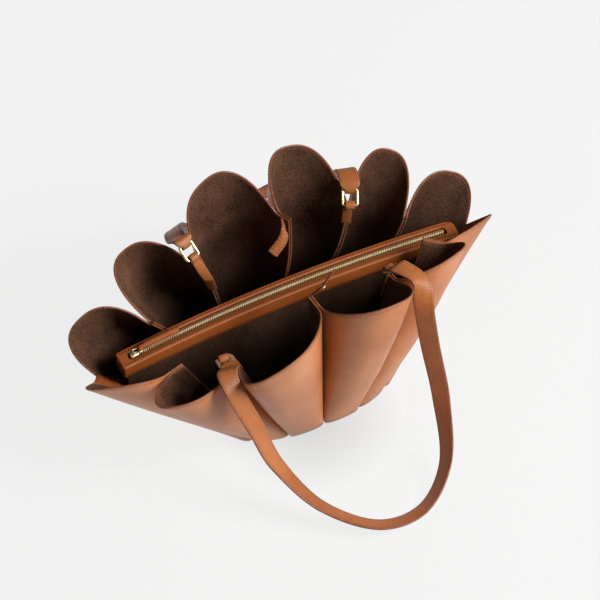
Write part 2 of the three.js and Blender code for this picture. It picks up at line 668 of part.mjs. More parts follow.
// A handle: looped round one ring's upper bar, along its route and looped round the other's.
function handle(name, route, startName, endName) {
  const reach = RING_WIRE / 2 + GAP + HANDLE_THICKNESS / 2;
  const endLoop = ({ highBar, up, topSide, across }) => {
    const turn = loopRound(highBar, up, topSide, reach);
    const tail = along(turn[0], up, HANDLE_TAIL);
    return [tail, ...turn].map((p) => ({ p, across, width: HANDLE_END_WIDTH }));
  };
  const [start, end] = [ringFrames[startName], ringFrames[endName]];
  const startLoop = endLoop(start);
  const finishLoop = endLoop(end).reverse();
  const leave = along(startLoop.at(-1).p, start.up, HANDLE_TAIL);
  const arrive = along(finishLoop[0].p, end.up, HANDLE_TAIL);
  const points = [leave, ...route.map(vec), arrive];
  const lies = route.map((row) => new THREE.Vector3(row.acrossX, row.acrossY, row.acrossZ));
  const sameWay = (across, lie) => across.clone().multiplyScalar(Math.sign(across.dot(lie)));
  const acrosses = [sameWay(start.across, lies[0]), ...lies, sameWay(end.across, lies.at(-1))];
  const curve = new THREE.CatmullRomCurve3(points, false, "centripetal");
  const middle = Array.from({ length: HANDLE_STEPS + 1 }, (_, i) => {
    const place = (i / HANDLE_STEPS) * (points.length - 1);
    const row = Math.min(Math.floor(place), points.length - 2);
    const across = mix(acrosses[row], acrosses[row + 1], place - row);
    return { p: curve.getPoint(i / HANDLE_STEPS), across, width: HANDLE_WIDTH };
  });
  const stations = [...startLoop, ...middle, ...finishLoop];
  for (let i = 1; i < stations.length; i++) {
    const [before, here] = [stations[i - 1], stations[i]];
    if (here.across.dot(before.across) < 0) here.across = here.across.clone().negate();
  }
  addMesh(name, strap(stations, HANDLE_THICKNESS), strapLeather, groups.straps);
}
handle("handle_front", FRONT_HANDLE_ROUTE, "front_left", "front_right");
handle("handle_back", BACK_HANDLE_ROUTE, "back_left", "back_right");

// Closure straps and the double-headed stud
function closureStations(route, [root, tip]) {
  const curve = new THREE.CatmullRomCurve3(route.map(vec));
  return Array.from({ length: CLOSURE_STEPS + 1 }, (_, i) => ({
    p: curve.getPoint(i / CLOSURE_STEPS),
    across: mix(vec(root), vec(tip), i / CLOSURE_STEPS),
    width: CLOSURE_WIDTH,
  }));
}
addMesh(
  "closure_strap_back",
  strap(closureStations(BACK_CLOSURE_ROUTE, BACK_CLOSURE_ACROSS), CLOSURE_THICKNESS),
  strapLeather,
  groups.straps,
);
{
  const stations = closureStations(FRONT_CLOSURE_ROUTE, FRONT_CLOSURE_ACROSS);
  const curve = new THREE.CatmullRomCurve3(FRONT_CLOSURE_ROUTE.map(vec));
  const tangent = curve.getTangent(STUD_AT);
  const hint = mix(...FRONT_CLOSURE_ACROSS.map(vec), STUD_AT);
  const side = along(hint, tangent, -hint.dot(tangent)).normalize();
  const face = tangent.clone().cross(side);
  const clear = CLOSURE_THICKNESS / 2 + GAP;
  const profile = [
    [0, -clear - STUD_HEAD_THICKNESS],
    [STUD_HEAD * 0.7, -clear - STUD_HEAD_THICKNESS],
    [STUD_HEAD, -clear - STUD_HEAD_THICKNESS / 2],
    [STUD_HEAD, -clear],
    [STUD_SHANK, -clear],
    [STUD_SHANK, clear],
    [STUD_HEAD, clear],
    [STUD_HEAD, clear + STUD_HEAD_THICKNESS / 2],
    [STUD_HEAD * 0.7, clear + STUD_HEAD_THICKNESS],
    [0, clear + STUD_HEAD_THICKNESS],
  ].map(([x, y]) => new THREE.Vector2(x, y));
  const place = curve.getPoint(STUD_AT);
  const turn = new THREE.Quaternion().setFromUnitVectors(new THREE.Vector3(0, 1, 0), face);
  const hole = new THREE.CylinderGeometry(STUD_SHANK + GAP, STUD_SHANK + GAP, 4 * clear, STUD_SIDES);
  hole.applyQuaternion(turn).translate(place.x, place.y, place.z);
  const punched = toSolid(strap(stations, CLOSURE_THICKNESS)).subtract(toSolid(hole));
  addMesh("closure_strap_front", toGeometry(punched), strapLeather, groups.straps);
  const stud = addMesh("closure_stud", new THREE.LatheGeometry(profile, STUD_SIDES), gold, groups.straps);
  stud.position.copy(place);
  stud.quaternion.copy(turn);
}

export default bag;
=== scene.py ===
# %% [markdown]
# A leather tote in the form of an open shell. Twelve leather petals stand round a small oval base. Each
# bows outwards like a flute, and where two meet, their edges turn inwards side by side as a fin. The packed
# solids give the frame, and this lesson builds the fine surfaces over them: painted edges, suede,
# stitching, a zip tooth by tooth, straps and gilt fittings.

# %% The frame
import math

import bmesh
import bpy
import numpy as np
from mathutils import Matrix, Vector, noise


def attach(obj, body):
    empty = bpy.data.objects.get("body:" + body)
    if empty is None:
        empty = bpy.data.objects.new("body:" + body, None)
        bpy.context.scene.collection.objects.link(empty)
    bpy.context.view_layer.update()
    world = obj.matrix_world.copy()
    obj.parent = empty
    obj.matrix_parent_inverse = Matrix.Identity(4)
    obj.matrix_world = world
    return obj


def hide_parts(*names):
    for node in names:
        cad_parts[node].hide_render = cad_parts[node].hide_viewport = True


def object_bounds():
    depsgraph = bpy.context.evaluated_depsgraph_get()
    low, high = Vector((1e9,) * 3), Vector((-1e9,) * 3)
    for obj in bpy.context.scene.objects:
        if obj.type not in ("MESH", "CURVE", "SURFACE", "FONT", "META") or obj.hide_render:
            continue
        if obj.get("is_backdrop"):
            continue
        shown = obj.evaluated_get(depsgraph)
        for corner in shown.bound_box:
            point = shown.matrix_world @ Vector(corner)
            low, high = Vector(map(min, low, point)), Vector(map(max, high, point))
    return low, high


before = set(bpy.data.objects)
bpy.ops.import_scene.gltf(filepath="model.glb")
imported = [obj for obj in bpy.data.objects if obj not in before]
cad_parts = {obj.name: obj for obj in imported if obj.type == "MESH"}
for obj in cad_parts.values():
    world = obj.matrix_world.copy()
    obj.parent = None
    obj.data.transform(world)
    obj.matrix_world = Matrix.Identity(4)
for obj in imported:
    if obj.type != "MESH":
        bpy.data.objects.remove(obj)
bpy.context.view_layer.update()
scene = bpy.context.scene
MM = 0.001
UP = np.array([0.0, 0.0, 1.0])
print("nodes in the frame:", len(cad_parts))

# %% [markdown]
# The camera comes first, because everything is judged through it. The photograph looks down from the bag's
# front left and from far away, so parallel lines stay nearly parallel. A long lens at a long distance gives
# that. The target is a little right of and above the bag's middle.

# %% Camera
AZIMUTH, ELEVATION = math.radians(-26), math.radians(55)
VIEW_WIDTH, LENS, SENSOR, FAR_END = 0.6, 800, 36, 50
TARGET_HEIGHT, TARGET_RIGHT, TARGET_UP = 0.117, 0.00825, 0.00175


def stand(name, data, place, towards):
    """A camera or lamp at a place, looking along a direction."""
    made = bpy.data.objects.new(name, data)
    made.location = place
    made.rotation_mode = "QUATERNION"
    made.rotation_quaternion = towards.to_track_quat("-Z", "Y")
    scene.collection.objects.link(made)
    return made


camera_right = Vector((math.cos(AZIMUTH), math.sin(AZIMUTH), 0))
camera_back = Vector((math.sin(AZIMUTH) * math.cos(ELEVATION), -math.cos(AZIMUTH) * math.cos(ELEVATION),
                      math.sin(ELEVATION)))
camera_up = camera_back.cross(camera_right)
target = Vector((0, 0, TARGET_HEIGHT)) + TARGET_RIGHT * camera_right + TARGET_UP * camera_up
camera = stand("camera", bpy.data.cameras.new("camera"), target + camera_back * (VIEW_WIDTH * LENS / SENSOR),
               -camera_back)
camera.data.lens, camera.data.sensor_width, camera.data.clip_end = LENS, SENSOR, FAR_END
scene.camera = camera
print("camera at", tuple(round(c, 3) for c in camera.location))

# %% [markdown]
# A material is a network of nodes, and Python expressions keep it short: Tone wraps one output socket, so
# that adding or multiplying Tones adds Math nodes. Finish holds one material, and its node method makes any
# other node from a type, its settings and its sockets.

# %% Tones and finishes
class Tone:
    """One socket of a finish, so that shader maths reads as arithmetic."""

    def __init__(self, finish, socket):
        self.finish, self.socket = finish, socket

    def combine(self, operation, first, second):
        return self.finish.node("ShaderNodeMath", {"operation": operation}, {0: first, 1: second})

    __add__ = __radd__ = lambda self, other: self.combine("ADD", self, other)
    __mul__ = __rmul__ = lambda self, other: self.combine("MULTIPLY", self, other)
    __sub__ = lambda self, other: self.combine("SUBTRACT", self, other)
    __rsub__ = lambda self, other: self.combine("SUBTRACT", other, self)


class Finish:
    """One material with a Principled shader, built up by calls."""

    def __init__(self, name, **constants):
        self.material = bpy.data.materials.new(name)
        self.material.use_nodes = True
        self.tree = self.material.node_tree
        self.shader = next(n for n in self.tree.nodes if n.type == "BSDF_PRINCIPLED")
        self.set(**constants)
        self.place = self.node("ShaderNodeTexCoord", output="Object")

    def node(self, kind, settings=None, sockets=None, output=0):
        made = self.tree.nodes.new(kind)
        for key, value in (settings or {}).items():
            setattr(made, key, value)
        for key, value in (sockets or {}).items():
            self.plug(made.inputs[key], value)
        return Tone(self, made.outputs[output])

    def plug(self, socket, value):
        if isinstance(value, Tone):
            self.tree.links.new(value.socket, socket)
        else:
            socket.default_value = value

    def set(self, **sockets):
        for socket, value in sockets.items():
            self.plug(self.shader.inputs[socket.replace("_", " ")], value)
        return self.material

    def noise(self, scale, detail=3, roughness=0.5, stretch=None):
        place = self.place
        if stretch:
            place = self.node("ShaderNodeMapping", {}, {"Vector": place, "Scale": stretch})
        return self.node("ShaderNodeTexNoise", {},
                         {"Vector": place, "Scale": scale, "Detail": detail, "Roughness": roughness})

    def mix(self, factor, first, second):
        return self.node("ShaderNodeMix", {"data_type": "RGBA"}, {0: factor, 6: first, 7: second}, output=2)

    def curve(self, value, low, high):
        """Value spread so that low gives 0 and high gives 1."""
        return self.node("ShaderNodeMapRange", {}, {"Value": value, "From Min": low, "From Max": high})

    def bump(self, height, strength, distance):
        return self.node("ShaderNodeBump", {}, {"Height": height, "Strength": strength, "Distance": distance})


def srgb(red, green, blue):
    """A colour picked on a screen, as the linear values that shaders use."""
    channels = [c / 255 for c in (red, green, blue)]
    return (*[c / 12.92 if c <= 0.04045 else ((c + 0.055) / 1.055) ** 2.4 for c in channels], 1.0)


print("finish kit ready")

# %% [markdown]
# The outside is smooth calf leather in camel. The dye takes unevenly over centimetres, and a fine grain of
# pores breaks the shine over millimetres. Broad and fine noise mix two tones, small cells make the grain,
# and the fine ones also move the roughness a little.

# %% Leather
def leather(name, deep, bright, rough, shine=0.42):
    finish = Finish(name, Specular_IOR_Level=shine)
    cloud = finish.noise(11, 4, 0.55)
    fleck = finish.noise(170, 4, 0.6)
    pores = finish.node("ShaderNodeTexVoronoi", {"feature": "DISTANCE_TO_EDGE"},
                        {"Vector": finish.place, "Scale": 950}, output="Distance")
    cells = finish.curve(pores, 0.0, 0.22)
    dye = finish.curve(cloud * 0.75 + fleck * 0.25, 0.36, 0.64)
    colour = finish.mix(dye, deep, bright)
    colour = finish.mix(0.16 * (1 - cells), colour, (deep[0] * 0.55, deep[1] * 0.5, deep[2] * 0.45, 1))
    creases = finish.noise(46, 3, 0.6)
    height = cells * 0.5 + fleck * 0.5 + creases * 1.6
    return finish.set(Base_Color=colour, Roughness=rough + 0.16 * fleck - 0.05 * cells,
                      Normal=finish.bump(height, 0.18, 0.0006))


camel = leather("camel_leather", srgb(168, 98, 52), srgb(197, 127, 81), 0.36)
strap_brown = leather("strap_leather", srgb(152, 87, 44), srgb(179, 109, 62), 0.36, shine=0.26)
band_brown = leather("band_leather", srgb(142, 72, 28), srgb(168, 90, 40), 0.34)
pull_brown = leather("pull_leather", srgb(158, 88, 42), srgb(184, 108, 56), 0.3)
print("leathers:", camel.name, strap_brown.name, band_brown.name, pull_brown.name)

# %% [markdown]
# The lining is the flesh side of the hide, brushed to a nap. Suede has next to no gloss, but at a low angle
# its fibres catch light, which the shader's sheen gives. Two noises, one stretched, make the brushed
# patches and the fibres. Deep in the bag the suede's colour is darkened towards the bottom: painted shade.

# %% Suede
# Painted shade: below the first height the suede takes the near-black shade colour, and above the second it
# keeps its own.
SUEDE_FULL_SHADE_BELOW, SUEDE_NO_SHADE_ABOVE, SUEDE_PAINTED_SHADE = 0.03, 0.15, srgb(26, 17, 13)


def suede(name, dark, light):
    finish = Finish(name, Roughness=0.95, Specular_IOR_Level=0.1, Sheen_Weight=0.1, Sheen_Roughness=0.45,
                    Sheen_Tint=srgb(150, 110, 85))
    brushed = finish.noise(38, 5, 0.65, stretch=(1, 1, 0.6))
    fibre = finish.noise(520, 3, 0.75)
    nap = finish.curve(brushed * 0.38 + fibre * 0.62, 0.36, 0.64)
    # Painted shade: the colour darkens towards the bottom of the bag, by height alone.
    height = finish.node("ShaderNodeSeparateXYZ", {}, {"Vector": finish.place}, output="Z")
    painted_shade_fade = finish.curve(height, SUEDE_FULL_SHADE_BELOW, SUEDE_NO_SHADE_ABOVE)
    colour = finish.mix(painted_shade_fade, SUEDE_PAINTED_SHADE, finish.mix(nap, dark, light))
    return finish.set(Base_Color=colour, Normal=finish.bump(fibre + brushed, 0.5, 0.0008))


lining = suede("brown_suede", srgb(50, 31, 22), srgb(114, 79, 59))
print("suede:", lining.name)

# %% [markdown]
# Cut edges are sealed with tan paint, which dries as a smooth, slightly uneven bead. Thread is waxed cotton
# near the leather's own tone. Gilt metal is plated brass: its colour is mostly in the reflection, and faint
# smears change how sharp that is. The zip's teeth are duller and paler.

# %% Edge paint, thread and gilt
PAINT = {"shine": 0.4, "grain": (240, 3, 0.5), "spread": (0.35, 0.65), "rough": 0.34, "relief": (0.2, 0.0004)}
THREAD = {"shine": 0.3, "grain": (1400, 2, 0.6), "spread": (0, 1), "rough": 0.55, "relief": (0.4, 0.0003)}


def uneven(name, deep, bright, shine, grain, spread, rough, relief):
    """One noise that moves the tone, the gloss and the relief."""
    finish = Finish(name, Specular_IOR_Level=shine)
    fleck = finish.noise(*grain)
    colour = finish.mix(finish.curve(fleck, *spread), deep, bright)
    return finish.set(Base_Color=colour, Roughness=rough + 0.2 * fleck, Normal=finish.bump(fleck, *relief))


def gilt(name, metal):
    finish = Finish(name, Metallic=metal)
    smear = finish.noise(130, 3, 0.55)
    colour = finish.mix(finish.curve(smear, 0.3, 0.7), srgb(240, 212, 158), srgb(250, 230, 190))
    return finish.set(Base_Color=colour, Roughness=0.26 + 0.12 * smear)


edge_paint = uneven("edge_paint", srgb(118, 66, 40), srgb(142, 86, 58), **PAINT)
tan_thread = uneven("tan_thread", srgb(120, 68, 40), srgb(150, 92, 58), **THREAD)
brown_thread = uneven("brown_thread", srgb(56, 27, 12), srgb(84, 44, 22), **THREAD)
gold = gilt("gold_plating", 0.75)
tooth_gold = gilt("tooth_plating", 0.2)
print("trims:", edge_paint.name, tan_thread.name, gold.name, tooth_gold.name)

# %% [markdown]
# Zip tape is closely woven cotton. Two sets of fine waves, across and along the tape, give the weave in
# colour and relief.

# %% Zip tape cloth
def woven(name, deep, bright):
    finish = Finish(name, Specular_IOR_Level=0.2)
    wave = {"Vector": finish.place, "Scale": 420, "Distortion": 0.6, "Detail": 1}
    warp = finish.node("ShaderNodeTexWave", {"bands_direction": "X"}, wave, output="Fac")
    weft = finish.node("ShaderNodeTexWave", {"bands_direction": "Y"}, wave, output="Fac")
    weave = warp * weft
    return finish.set(Base_Color=finish.mix(weave, deep, bright), Roughness=0.8 + 0.1 * weave,
                      Normal=finish.bump(weave, 0.5, 0.0004))


tape_cloth = woven("zip_tape_cloth", srgb(112, 64, 28), srgb(152, 96, 50))
print("cloth:", tape_cloth.name)

# %% [markdown]
# Every piece is a mesh of points that the code works out in millimetres, and it rides on the bag's one
# body. A few helpers do the repeated work: joining grids of points with quads, capping swept bodies,
# smoothing lines, and turning points and faces into an object with its finishes and the solids that it
# stands for.

# %% Mesh helpers
def unit(v):
    return v / np.maximum(np.linalg.norm(v, axis=-1, keepdims=True), 1e-9)


def quads(rows, columns, start=0, wrap=False, close=False):
    """Faces of a grid of points; wrap joins its last column to its first, and close its last row."""
    faces = []
    for r in range(rows if close else rows - 1):
        here, there = start + r * columns, start + (r + 1) % rows * columns
        for c in range(columns if wrap else columns - 1):
            d = (c + 1) % columns
            faces.append((here + c, here + d, there + d, there + c))
    return faces


def swept_faces(rings):
    """Faces of a row of closed sections, with both ends capped."""
    count, size = np.shape(rings)[:2]
    caps = [tuple(range(size)), tuple(range((count - 1) * size, count * size))]
    return quads(count, size, wrap=True) + caps


def relaxed(rows, times):
    """A line of points or directions, smoothed between its ends."""
    for _ in range(times):
        rows[1:-1] = rows[1:-1] * 0.5 + (rows[:-2] + rows[2:]) * 0.25
    return rows


def run_along(points):
    """The way covered along a line up to each of its points."""
    return np.concatenate([[0], np.cumsum(np.linalg.norm(np.diff(points, axis=0), axis=1))])


def grid_normals(grid):
    return unit(np.cross(np.gradient(grid, axis=1), np.gradient(grid, axis=0)))


def join(*parts):
    """Several (points, faces) as one."""
    points, faces, count = [], [], 0
    for p, f in parts:
        points.append(np.asarray(p, float).reshape(-1, 3))
        faces += [tuple(i + count for i in face) for face in f]
        count += len(points[-1])
    return np.vstack(points), faces


def piece(name, points, faces, finishes, picks=None, stands_for=(), slot=None):
    mesh = bpy.data.meshes.new(name)
    mesh.from_pydata((np.asarray(points, float).reshape(-1, 3) * MM).tolist(), [], faces)
    for finish in finishes:
        mesh.materials.append(finish)
    if picks is not None:
        mesh.polygons.foreach_set("material_index", picks)
    work = bmesh.new()
    work.from_mesh(mesh)
    bmesh.ops.recalc_face_normals(work, faces=work.faces)
    for face in work.faces:
        face.smooth = True
    work.to_mesh(mesh)
    work.free()
    made = bpy.data.objects.new(name, mesh)
    scene.collection.objects.link(made)
    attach(made, "root")
    if stands_for:
        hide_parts(*stands_for)
    return made


def sweep(name, rings, finishes, stands_for, slot, edges=()):
    """A piece from a row of closed sections; strips in edges, and then the caps, take the second finish."""
    faces, size = swept_faces(rings), len(rings[0])
    picks = [int(k % size in edges) for k in range(len(faces) - 2)] + [int(len(edges) > 0)] * 2
    return piece(name, rings, faces, finishes, picks, [stands_for], slot)


def soft_noise(points, size, seed=0.0):
    """Smooth noise from -1 to 1 at each point; size is the width of a swell in millimetres."""
    flat = np.asarray(points).reshape(-1, 3) / size + seed
    return np.array([noise.noise(Vector(p)) for p in flat]).reshape(np.asarray(points).shape[:-1])


print("mesh helpers ready")

# %% [markdown]
# Saddle stitches are short fat threads lying end to end, each dipping into its holes. One stitch here is a
# small spindle: a point, two rings and a point. A row repeats it along a line at an even pitch, slanted a
# little and sunk to half its height.

# %% Stitches
STITCH_PITCH, STITCH_LENGTH, STITCH_WIDTH = 3.3, 2.5, 0.8
STITCH_SLANT, STITCH_SIDES, STITCH_FLATNESS, STITCH_DIP = math.radians(9), 6, 0.85, 0.3


def resample(points, step, *others):
    """A line of points at an even step along it, with other rows of values carried along."""
    points = np.asarray(points, float)
    run = run_along(points)
    count = max(int(run[-1] / step), 1)
    at = (np.arange(count) + 0.5) * run[-1] / count
    spread = lambda rows: np.stack([np.interp(at, run, column) for column in np.asarray(rows, float).T], -1)
    return [spread(rows) for rows in (points, *others)]


def stitch_row(points, normals, pitch=STITCH_PITCH, width=STITCH_WIDTH):
    """The points and faces of a row of stitches on a line with its surface normals, or one normal for all."""
    middle, normal = resample(points, pitch, np.broadcast_to(normals, points.shape))
    if len(middle) < 2:
        return np.zeros((0, 3)), []
    normal = unit(normal)
    tangent = unit(np.gradient(middle, axis=0))
    side = unit(np.cross(normal, tangent))
    lie = tangent * math.cos(STITCH_SLANT) + side * math.sin(STITCH_SLANT)
    beside = unit(np.cross(normal, lie))
    angles = 2 * math.pi * np.arange(STITCH_SIDES)[:, None] / STITCH_SIDES
    faces = []
    for k in range(STITCH_SIDES):
        a, b = 1 + k, 1 + (k + 1) % STITCH_SIDES
        c, d = a + STITCH_SIDES, b + STITCH_SIDES
        faces += [(0, b, a), (a, b, d, c), (c, d, 2 * STITCH_SIDES + 1)]
    parts = []
    for p, n, t, b in zip(middle, normal, lie, beside):
        ring = width / 2 * (np.cos(angles) * b + STITCH_FLATNESS * np.sin(angles) * n)
        half, dip = t * STITCH_LENGTH / 2, STITCH_DIP * n
        body = [p - half - dip, *(p - half / 2 + ring), *(p + half / 2 + ring), p + half - dip]
        parts.append((body, faces))
    return join(*parts)


def sew(name, rows, finish, slot="strap_leather"):
    piece(name, *join(*rows), [finish], slot=slot)


print("one stitch is", STITCH_LENGTH, "mm long")

# %% [markdown]
# The petals follow the same few values as the solids. A fold is where two petals meet: the inner corner of
# its fin at the rim, the way from there out to the crease, and its place round the oval base. A crest is
# the top of a petal's rounded rim. Between floor and rim the leather runs straight, with a slight belly and
# some folds bowed.

# %% Folds and crests
# Columns: corner x, y, z; leg x, y, z; bow x, y at half height; degrees round the base
FRONT_FOLDS = np.array([
    (-222, -2, 117, 0, 0, 0, 0, 0, 2.5),
    (-138, -35, 140, -22, -5, -1, 0, 0, 50),
    (-96, -60, 154, 3, -6, -2, 0, 0, 73),
    (0, -41, 180, 4, -21, -3, 0, 0, 90),
    (90, -42, 162, 2, -7, -2, 0, 0, 107),
    (142, -8, 149, 18, -13, -3, 0, 0, 130),
    (221, 7, 120, 0, 0, 0, 0, 0, 177.5),
], float)
BACK_FOLDS = np.array([
    (-210, 18, 98, 0, 0, 0, 0, 0, 2.5),
    (-142, 24, 138, -3, 4, -3, 0, 0, 50),
    (-76, 33, 163, 3, 6, -4, 0, 0, 73),
    (19, 43, 193, -6, 16, -6, 7, -11, 90),
    (87, 51, 166, 4, 7, -4, 12, -7, 107),
    (140, 28, 140, 3, 5, -3, 15, -4, 130),
    (205, 20, 98, 0, 0, 0, 0, 0, 177.5),
], float)
# Columns: crest x, y, z
FRONT_CRESTS = np.array([(-219, -36, 151), (-176, -100, 175), (-77, -128, 207),
                         (60, -110, 215), (152, -62, 184), (202, -13, 144)], float)
BACK_CRESTS = np.array([(-210, 52, 152), (-146, 81, 195), (-53, 94, 238),
                        (44, 95, 240), (146, 74, 197), (203, 51, 153)], float)
SIDES = {"front": (FRONT_FOLDS, FRONT_CRESTS, -1), "back": (BACK_FOLDS, BACK_CRESTS, 1)}
LEATHER, SEAM_GAP = 2.0, 0.9
BASE_HALF_WIDTH, BASE_HALF_DEPTH, BASE_SQUARENESS, BASE_FIN, BASE_BULGE = 100, 73.5, 2.5, 4, 3
LOBE_ROUNDNESS, BELLY = 2.5, 6


def signed_power(value, power):
    return np.sign(value) * np.abs(value) ** power


def oval_point(degrees, sign):
    a, power = math.radians(degrees), 2 / BASE_SQUARENESS
    return np.array([-BASE_HALF_WIDTH * signed_power(math.cos(a), power),
                     sign * BASE_HALF_DEPTH * signed_power(math.sin(a), power), 0])


def fold_ends(fold, sign):
    """The fin's inner corner and its crease, at the rim and at the floor, and whether it has a fin."""
    corner, leg, floor = fold[:3], fold[3:6], oval_point(fold[8], sign)
    finned = bool(leg.any())
    inner = floor - unit(floor) * BASE_FIN if finned else floor
    return {"finned": finned, "rim": (corner, corner + leg), "floor": (inner, floor),
            "bow": np.array([*fold[6:8], 0])}


print("folds:", len(FRONT_FOLDS) + len(BACK_FOLDS))

# %% [markdown]
# A petal is worked out as one middle surface and pushed half a thickness each way. At its free edges the
# thickness runs out along a half circle, which gives the rounded bead of edge paint. The outer face gets
# the camel leather, the inner face the suede and the bead the paint.

# %% Petal surfaces
LOBE_STEPS, LEG_STEPS, LEVELS = 46, 7, 30
EDGE_ANGLES = np.radians([30, 58, 80])
RIPPLE, RIPPLE_SIZE, RIPPLE_SEED, RIPPLE_TOP = 1.1, 62, 3.7, 0.8


def petal_line(left, right, crest, left_fin, right_fin):
    """One fin, the lobe and the other fin as a line, with shares of the belly and of each fold's bow."""
    angle = np.linspace(0, math.pi, LOBE_STEPS + 1)
    middle, half = (left[1] + right[1]) / 2, (right[1] - left[1]) / 2
    power = 2 / LOBE_ROUNDNESS
    across, rise = -signed_power(np.cos(angle), power), signed_power(np.sin(angle), power)
    lobe = middle + across[:, None] * half + rise[:, None] * (crest - middle)
    legs = []
    for (corner, crease), fin in ((left, left_fin), (right, right_fin)):
        start = LEATHER / 2 / max(np.linalg.norm(crease - corner), 1e-6)
        share = np.linspace(start, 1, LEG_STEPS + 1)[:-1, None]
        legs.append(corner + (crease - corner) * share if fin else np.zeros((0, 3)))
    line = np.vstack([legs[0], lobe, legs[1][::-1]])
    padded = lambda row, *ends: np.pad(row, [len(leg) for leg in legs], constant_values=ends)
    shares = [padded((1 - rise - across) / 2, 1, 0), padded((1 - rise + across) / 2, 0, 1)]
    return relaxed(line, 3), padded(np.sin(angle), 0, 0), np.stack(shares, -1)


def petal_surface(side, number):
    """Middle surface of a petal as a grid of points, levels by columns, and its outward normals."""
    folds, crests, sign = SIDES[side]
    a, b = fold_ends(folds[number], sign), fold_ends(folds[number + 1], sign)
    floor_crest = oval_point((folds[number][8] + folds[number + 1][8]) / 2, sign)
    floor_crest = floor_crest + unit(floor_crest) * BASE_BULGE

    def beside(end, towards, finned):
        if not finned:
            return end
        aside = unit(np.cross(UP, end[1] - end[0]))
        aside = aside * np.sign(aside @ (towards - end[1]))
        return [p + aside * (LEATHER + SEAM_GAP) / 2 for p in end]

    lines = {}
    for level, crest in (("floor", floor_crest), ("rim", crests[number])):
        left = beside(a[level], b[level][1], a["finned"])
        right = beside(b[level], a[level][1], b["finned"])
        lines[level], weight, shares = petal_line(left, right, crest, a["finned"], b["finned"])
    out = crests[number] - (a["rim"][1] + b["rim"][1]) / 2
    out = unit(np.array([out[0], out[1], 0]))
    length = np.linalg.norm(lines["rim"] - lines["floor"], axis=1)
    top = 1 - LEATHER / 2 / length
    level = np.linspace(0, 1, LEVELS + 1)[:, None] * top
    grid = lines["floor"] + (lines["rim"] - lines["floor"]) * level[..., None]
    bowed = shares @ np.stack([a["bow"], b["bow"]])
    grid = grid + (out * BELLY * weight[:, None] + bowed) * np.sin(math.pi * level)[..., None]
    held = weight * np.sin(math.pi * np.minimum(level, RIPPLE_TOP))
    ripple = soft_noise(grid, RIPPLE_SIZE, number * RIPPLE_SEED + sign) * held
    grid = grid + out * (RIPPLE * ripple)[..., None]
    normal = grid_normals(grid)
    if normal[LEVELS // 2, grid.shape[1] // 2] @ out < 0:
        normal = -normal
    return grid, normal


def sheet_with_beads(grid, normal, thickness):
    """A sheet's two faces with rounded beads on its top and sides: points, faces and the faces' kinds."""
    radius = thickness / 2
    half = np.full(grid.shape[:2], radius)

    def grow(grid, normal, half):
        """The sheet with a bead's rows added after its last row."""
        away = unit(grid[-1:] - grid[-2:-1])
        rows = [grid[-1:] + away * radius * math.sin(t) for t in EDGE_ANGLES]
        thin = [half[-1:] * math.cos(t) for t in EDGE_ANGLES]
        normals = [normal[-1:]] * len(rows)
        return np.vstack([grid, *rows]), np.vstack([normal, *normals]), np.vstack([half, *thin])

    turned = [np.swapaxes(g, 0, 1)[::-1] for g in grow(grid, normal, half)]
    turned = grow(*[g[::-1] for g in grow(*turned)])
    grid, normal, half = [np.swapaxes(g, 0, 1) for g in turned]
    rows, columns = grid.shape[:2]
    outer, inner = grid + normal * half[..., None], grid - normal * half[..., None]
    count, bead = rows * columns, len(EDGE_ANGLES)
    faces = quads(rows, columns) + quads(rows, columns, count)
    kinds = np.full((2, rows - 1, columns - 1), 2)
    kinds[:, :-bead, bead:-bead] = np.arange(2)[:, None, None]
    at = np.arange(count).reshape(rows, columns)
    border = np.concatenate([at[:, 0], at[-1, 1:], at[-2::-1, -1], at[0, -2::-1]]).tolist()
    faces += [(a, b, count + b, count + a) for a, b in zip(border, border[1:])]
    kinds = kinds.ravel().tolist() + [2] * (len(border) - 1)
    return np.concatenate([outer.reshape(-1, 3), inner.reshape(-1, 3)]), faces, kinds


RIM_STITCH, PETALS = 2.8, 6
for side in SIDES:
    outer_rows, inner_rows = [], []
    for number in range(PETALS):
        grid, normal = petal_surface(side, number)
        points, faces, kinds = sheet_with_beads(grid, normal, LEATHER)
        piece(f"{side}_flute_{number + 1}", points, faces, [camel, lining, edge_paint], kinds,
              [f"{side}_petal_{number + 1}"], "outer_leather")
        inset = grid[-1] - unit(grid[-1] - grid[-2]) * RIM_STITCH
        for face, rows in ((1, outer_rows), (-1, inner_rows)):
            rows.append(stitch_row(inset + face * normal[-1] * LEATHER / 2, face * normal[-1]))
    sew(f"{side}_rim_stitching", outer_rows, brown_thread, "outer_leather")
    sew(f"{side}_lining_stitching", inner_rows, tan_thread, "suede")
print("petals:", PETALS * len(SIDES))

# %% [markdown]
# The base panel is a plain flat slab, and its solid is already right, so it only gets a finish: camel
# leather below and suede above, chosen by which way the surface faces.

# %% Base panel
def base_finish():
    finish = Finish("base_leather_and_suede", Specular_IOR_Level=0.3)
    facing = finish.node("ShaderNodeNewGeometry", output="Normal")
    upward = finish.curve(finish.node("ShaderNodeSeparateXYZ", {}, {0: facing}, output="Z"), 0.2, 0.6)
    cloud, grain = finish.noise(12, 4), finish.noise(900, 2)
    under = finish.mix(cloud, srgb(140, 82, 48), srgb(172, 110, 72))
    return finish.set(Base_Color=finish.mix(upward, under, srgb(62, 43, 33)), Roughness=0.5 + 0.4 * upward,
                      Normal=finish.bump(grain + cloud, 0.25, 0.0005))


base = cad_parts["base_panel"]
base.data.materials.clear()
base.data.materials.append(base_finish())

# %% [markdown]
# Inside each end of the bag a leather strip covers the side seam. It follows the seam's two edges upwards,
# sags inwards a little across its width, and is stitched near its top.

# %% Side strips
STRIP_BOTTOM, STRIP_TOP, STRIP_INSET, STRIP_THICKNESS = 0.06, 0.995, 0.4, 2
STRIP_SAG, STRIP_OVERLAP, STRIP_STITCHES = 1.2, 0.03, (2.6, 12)

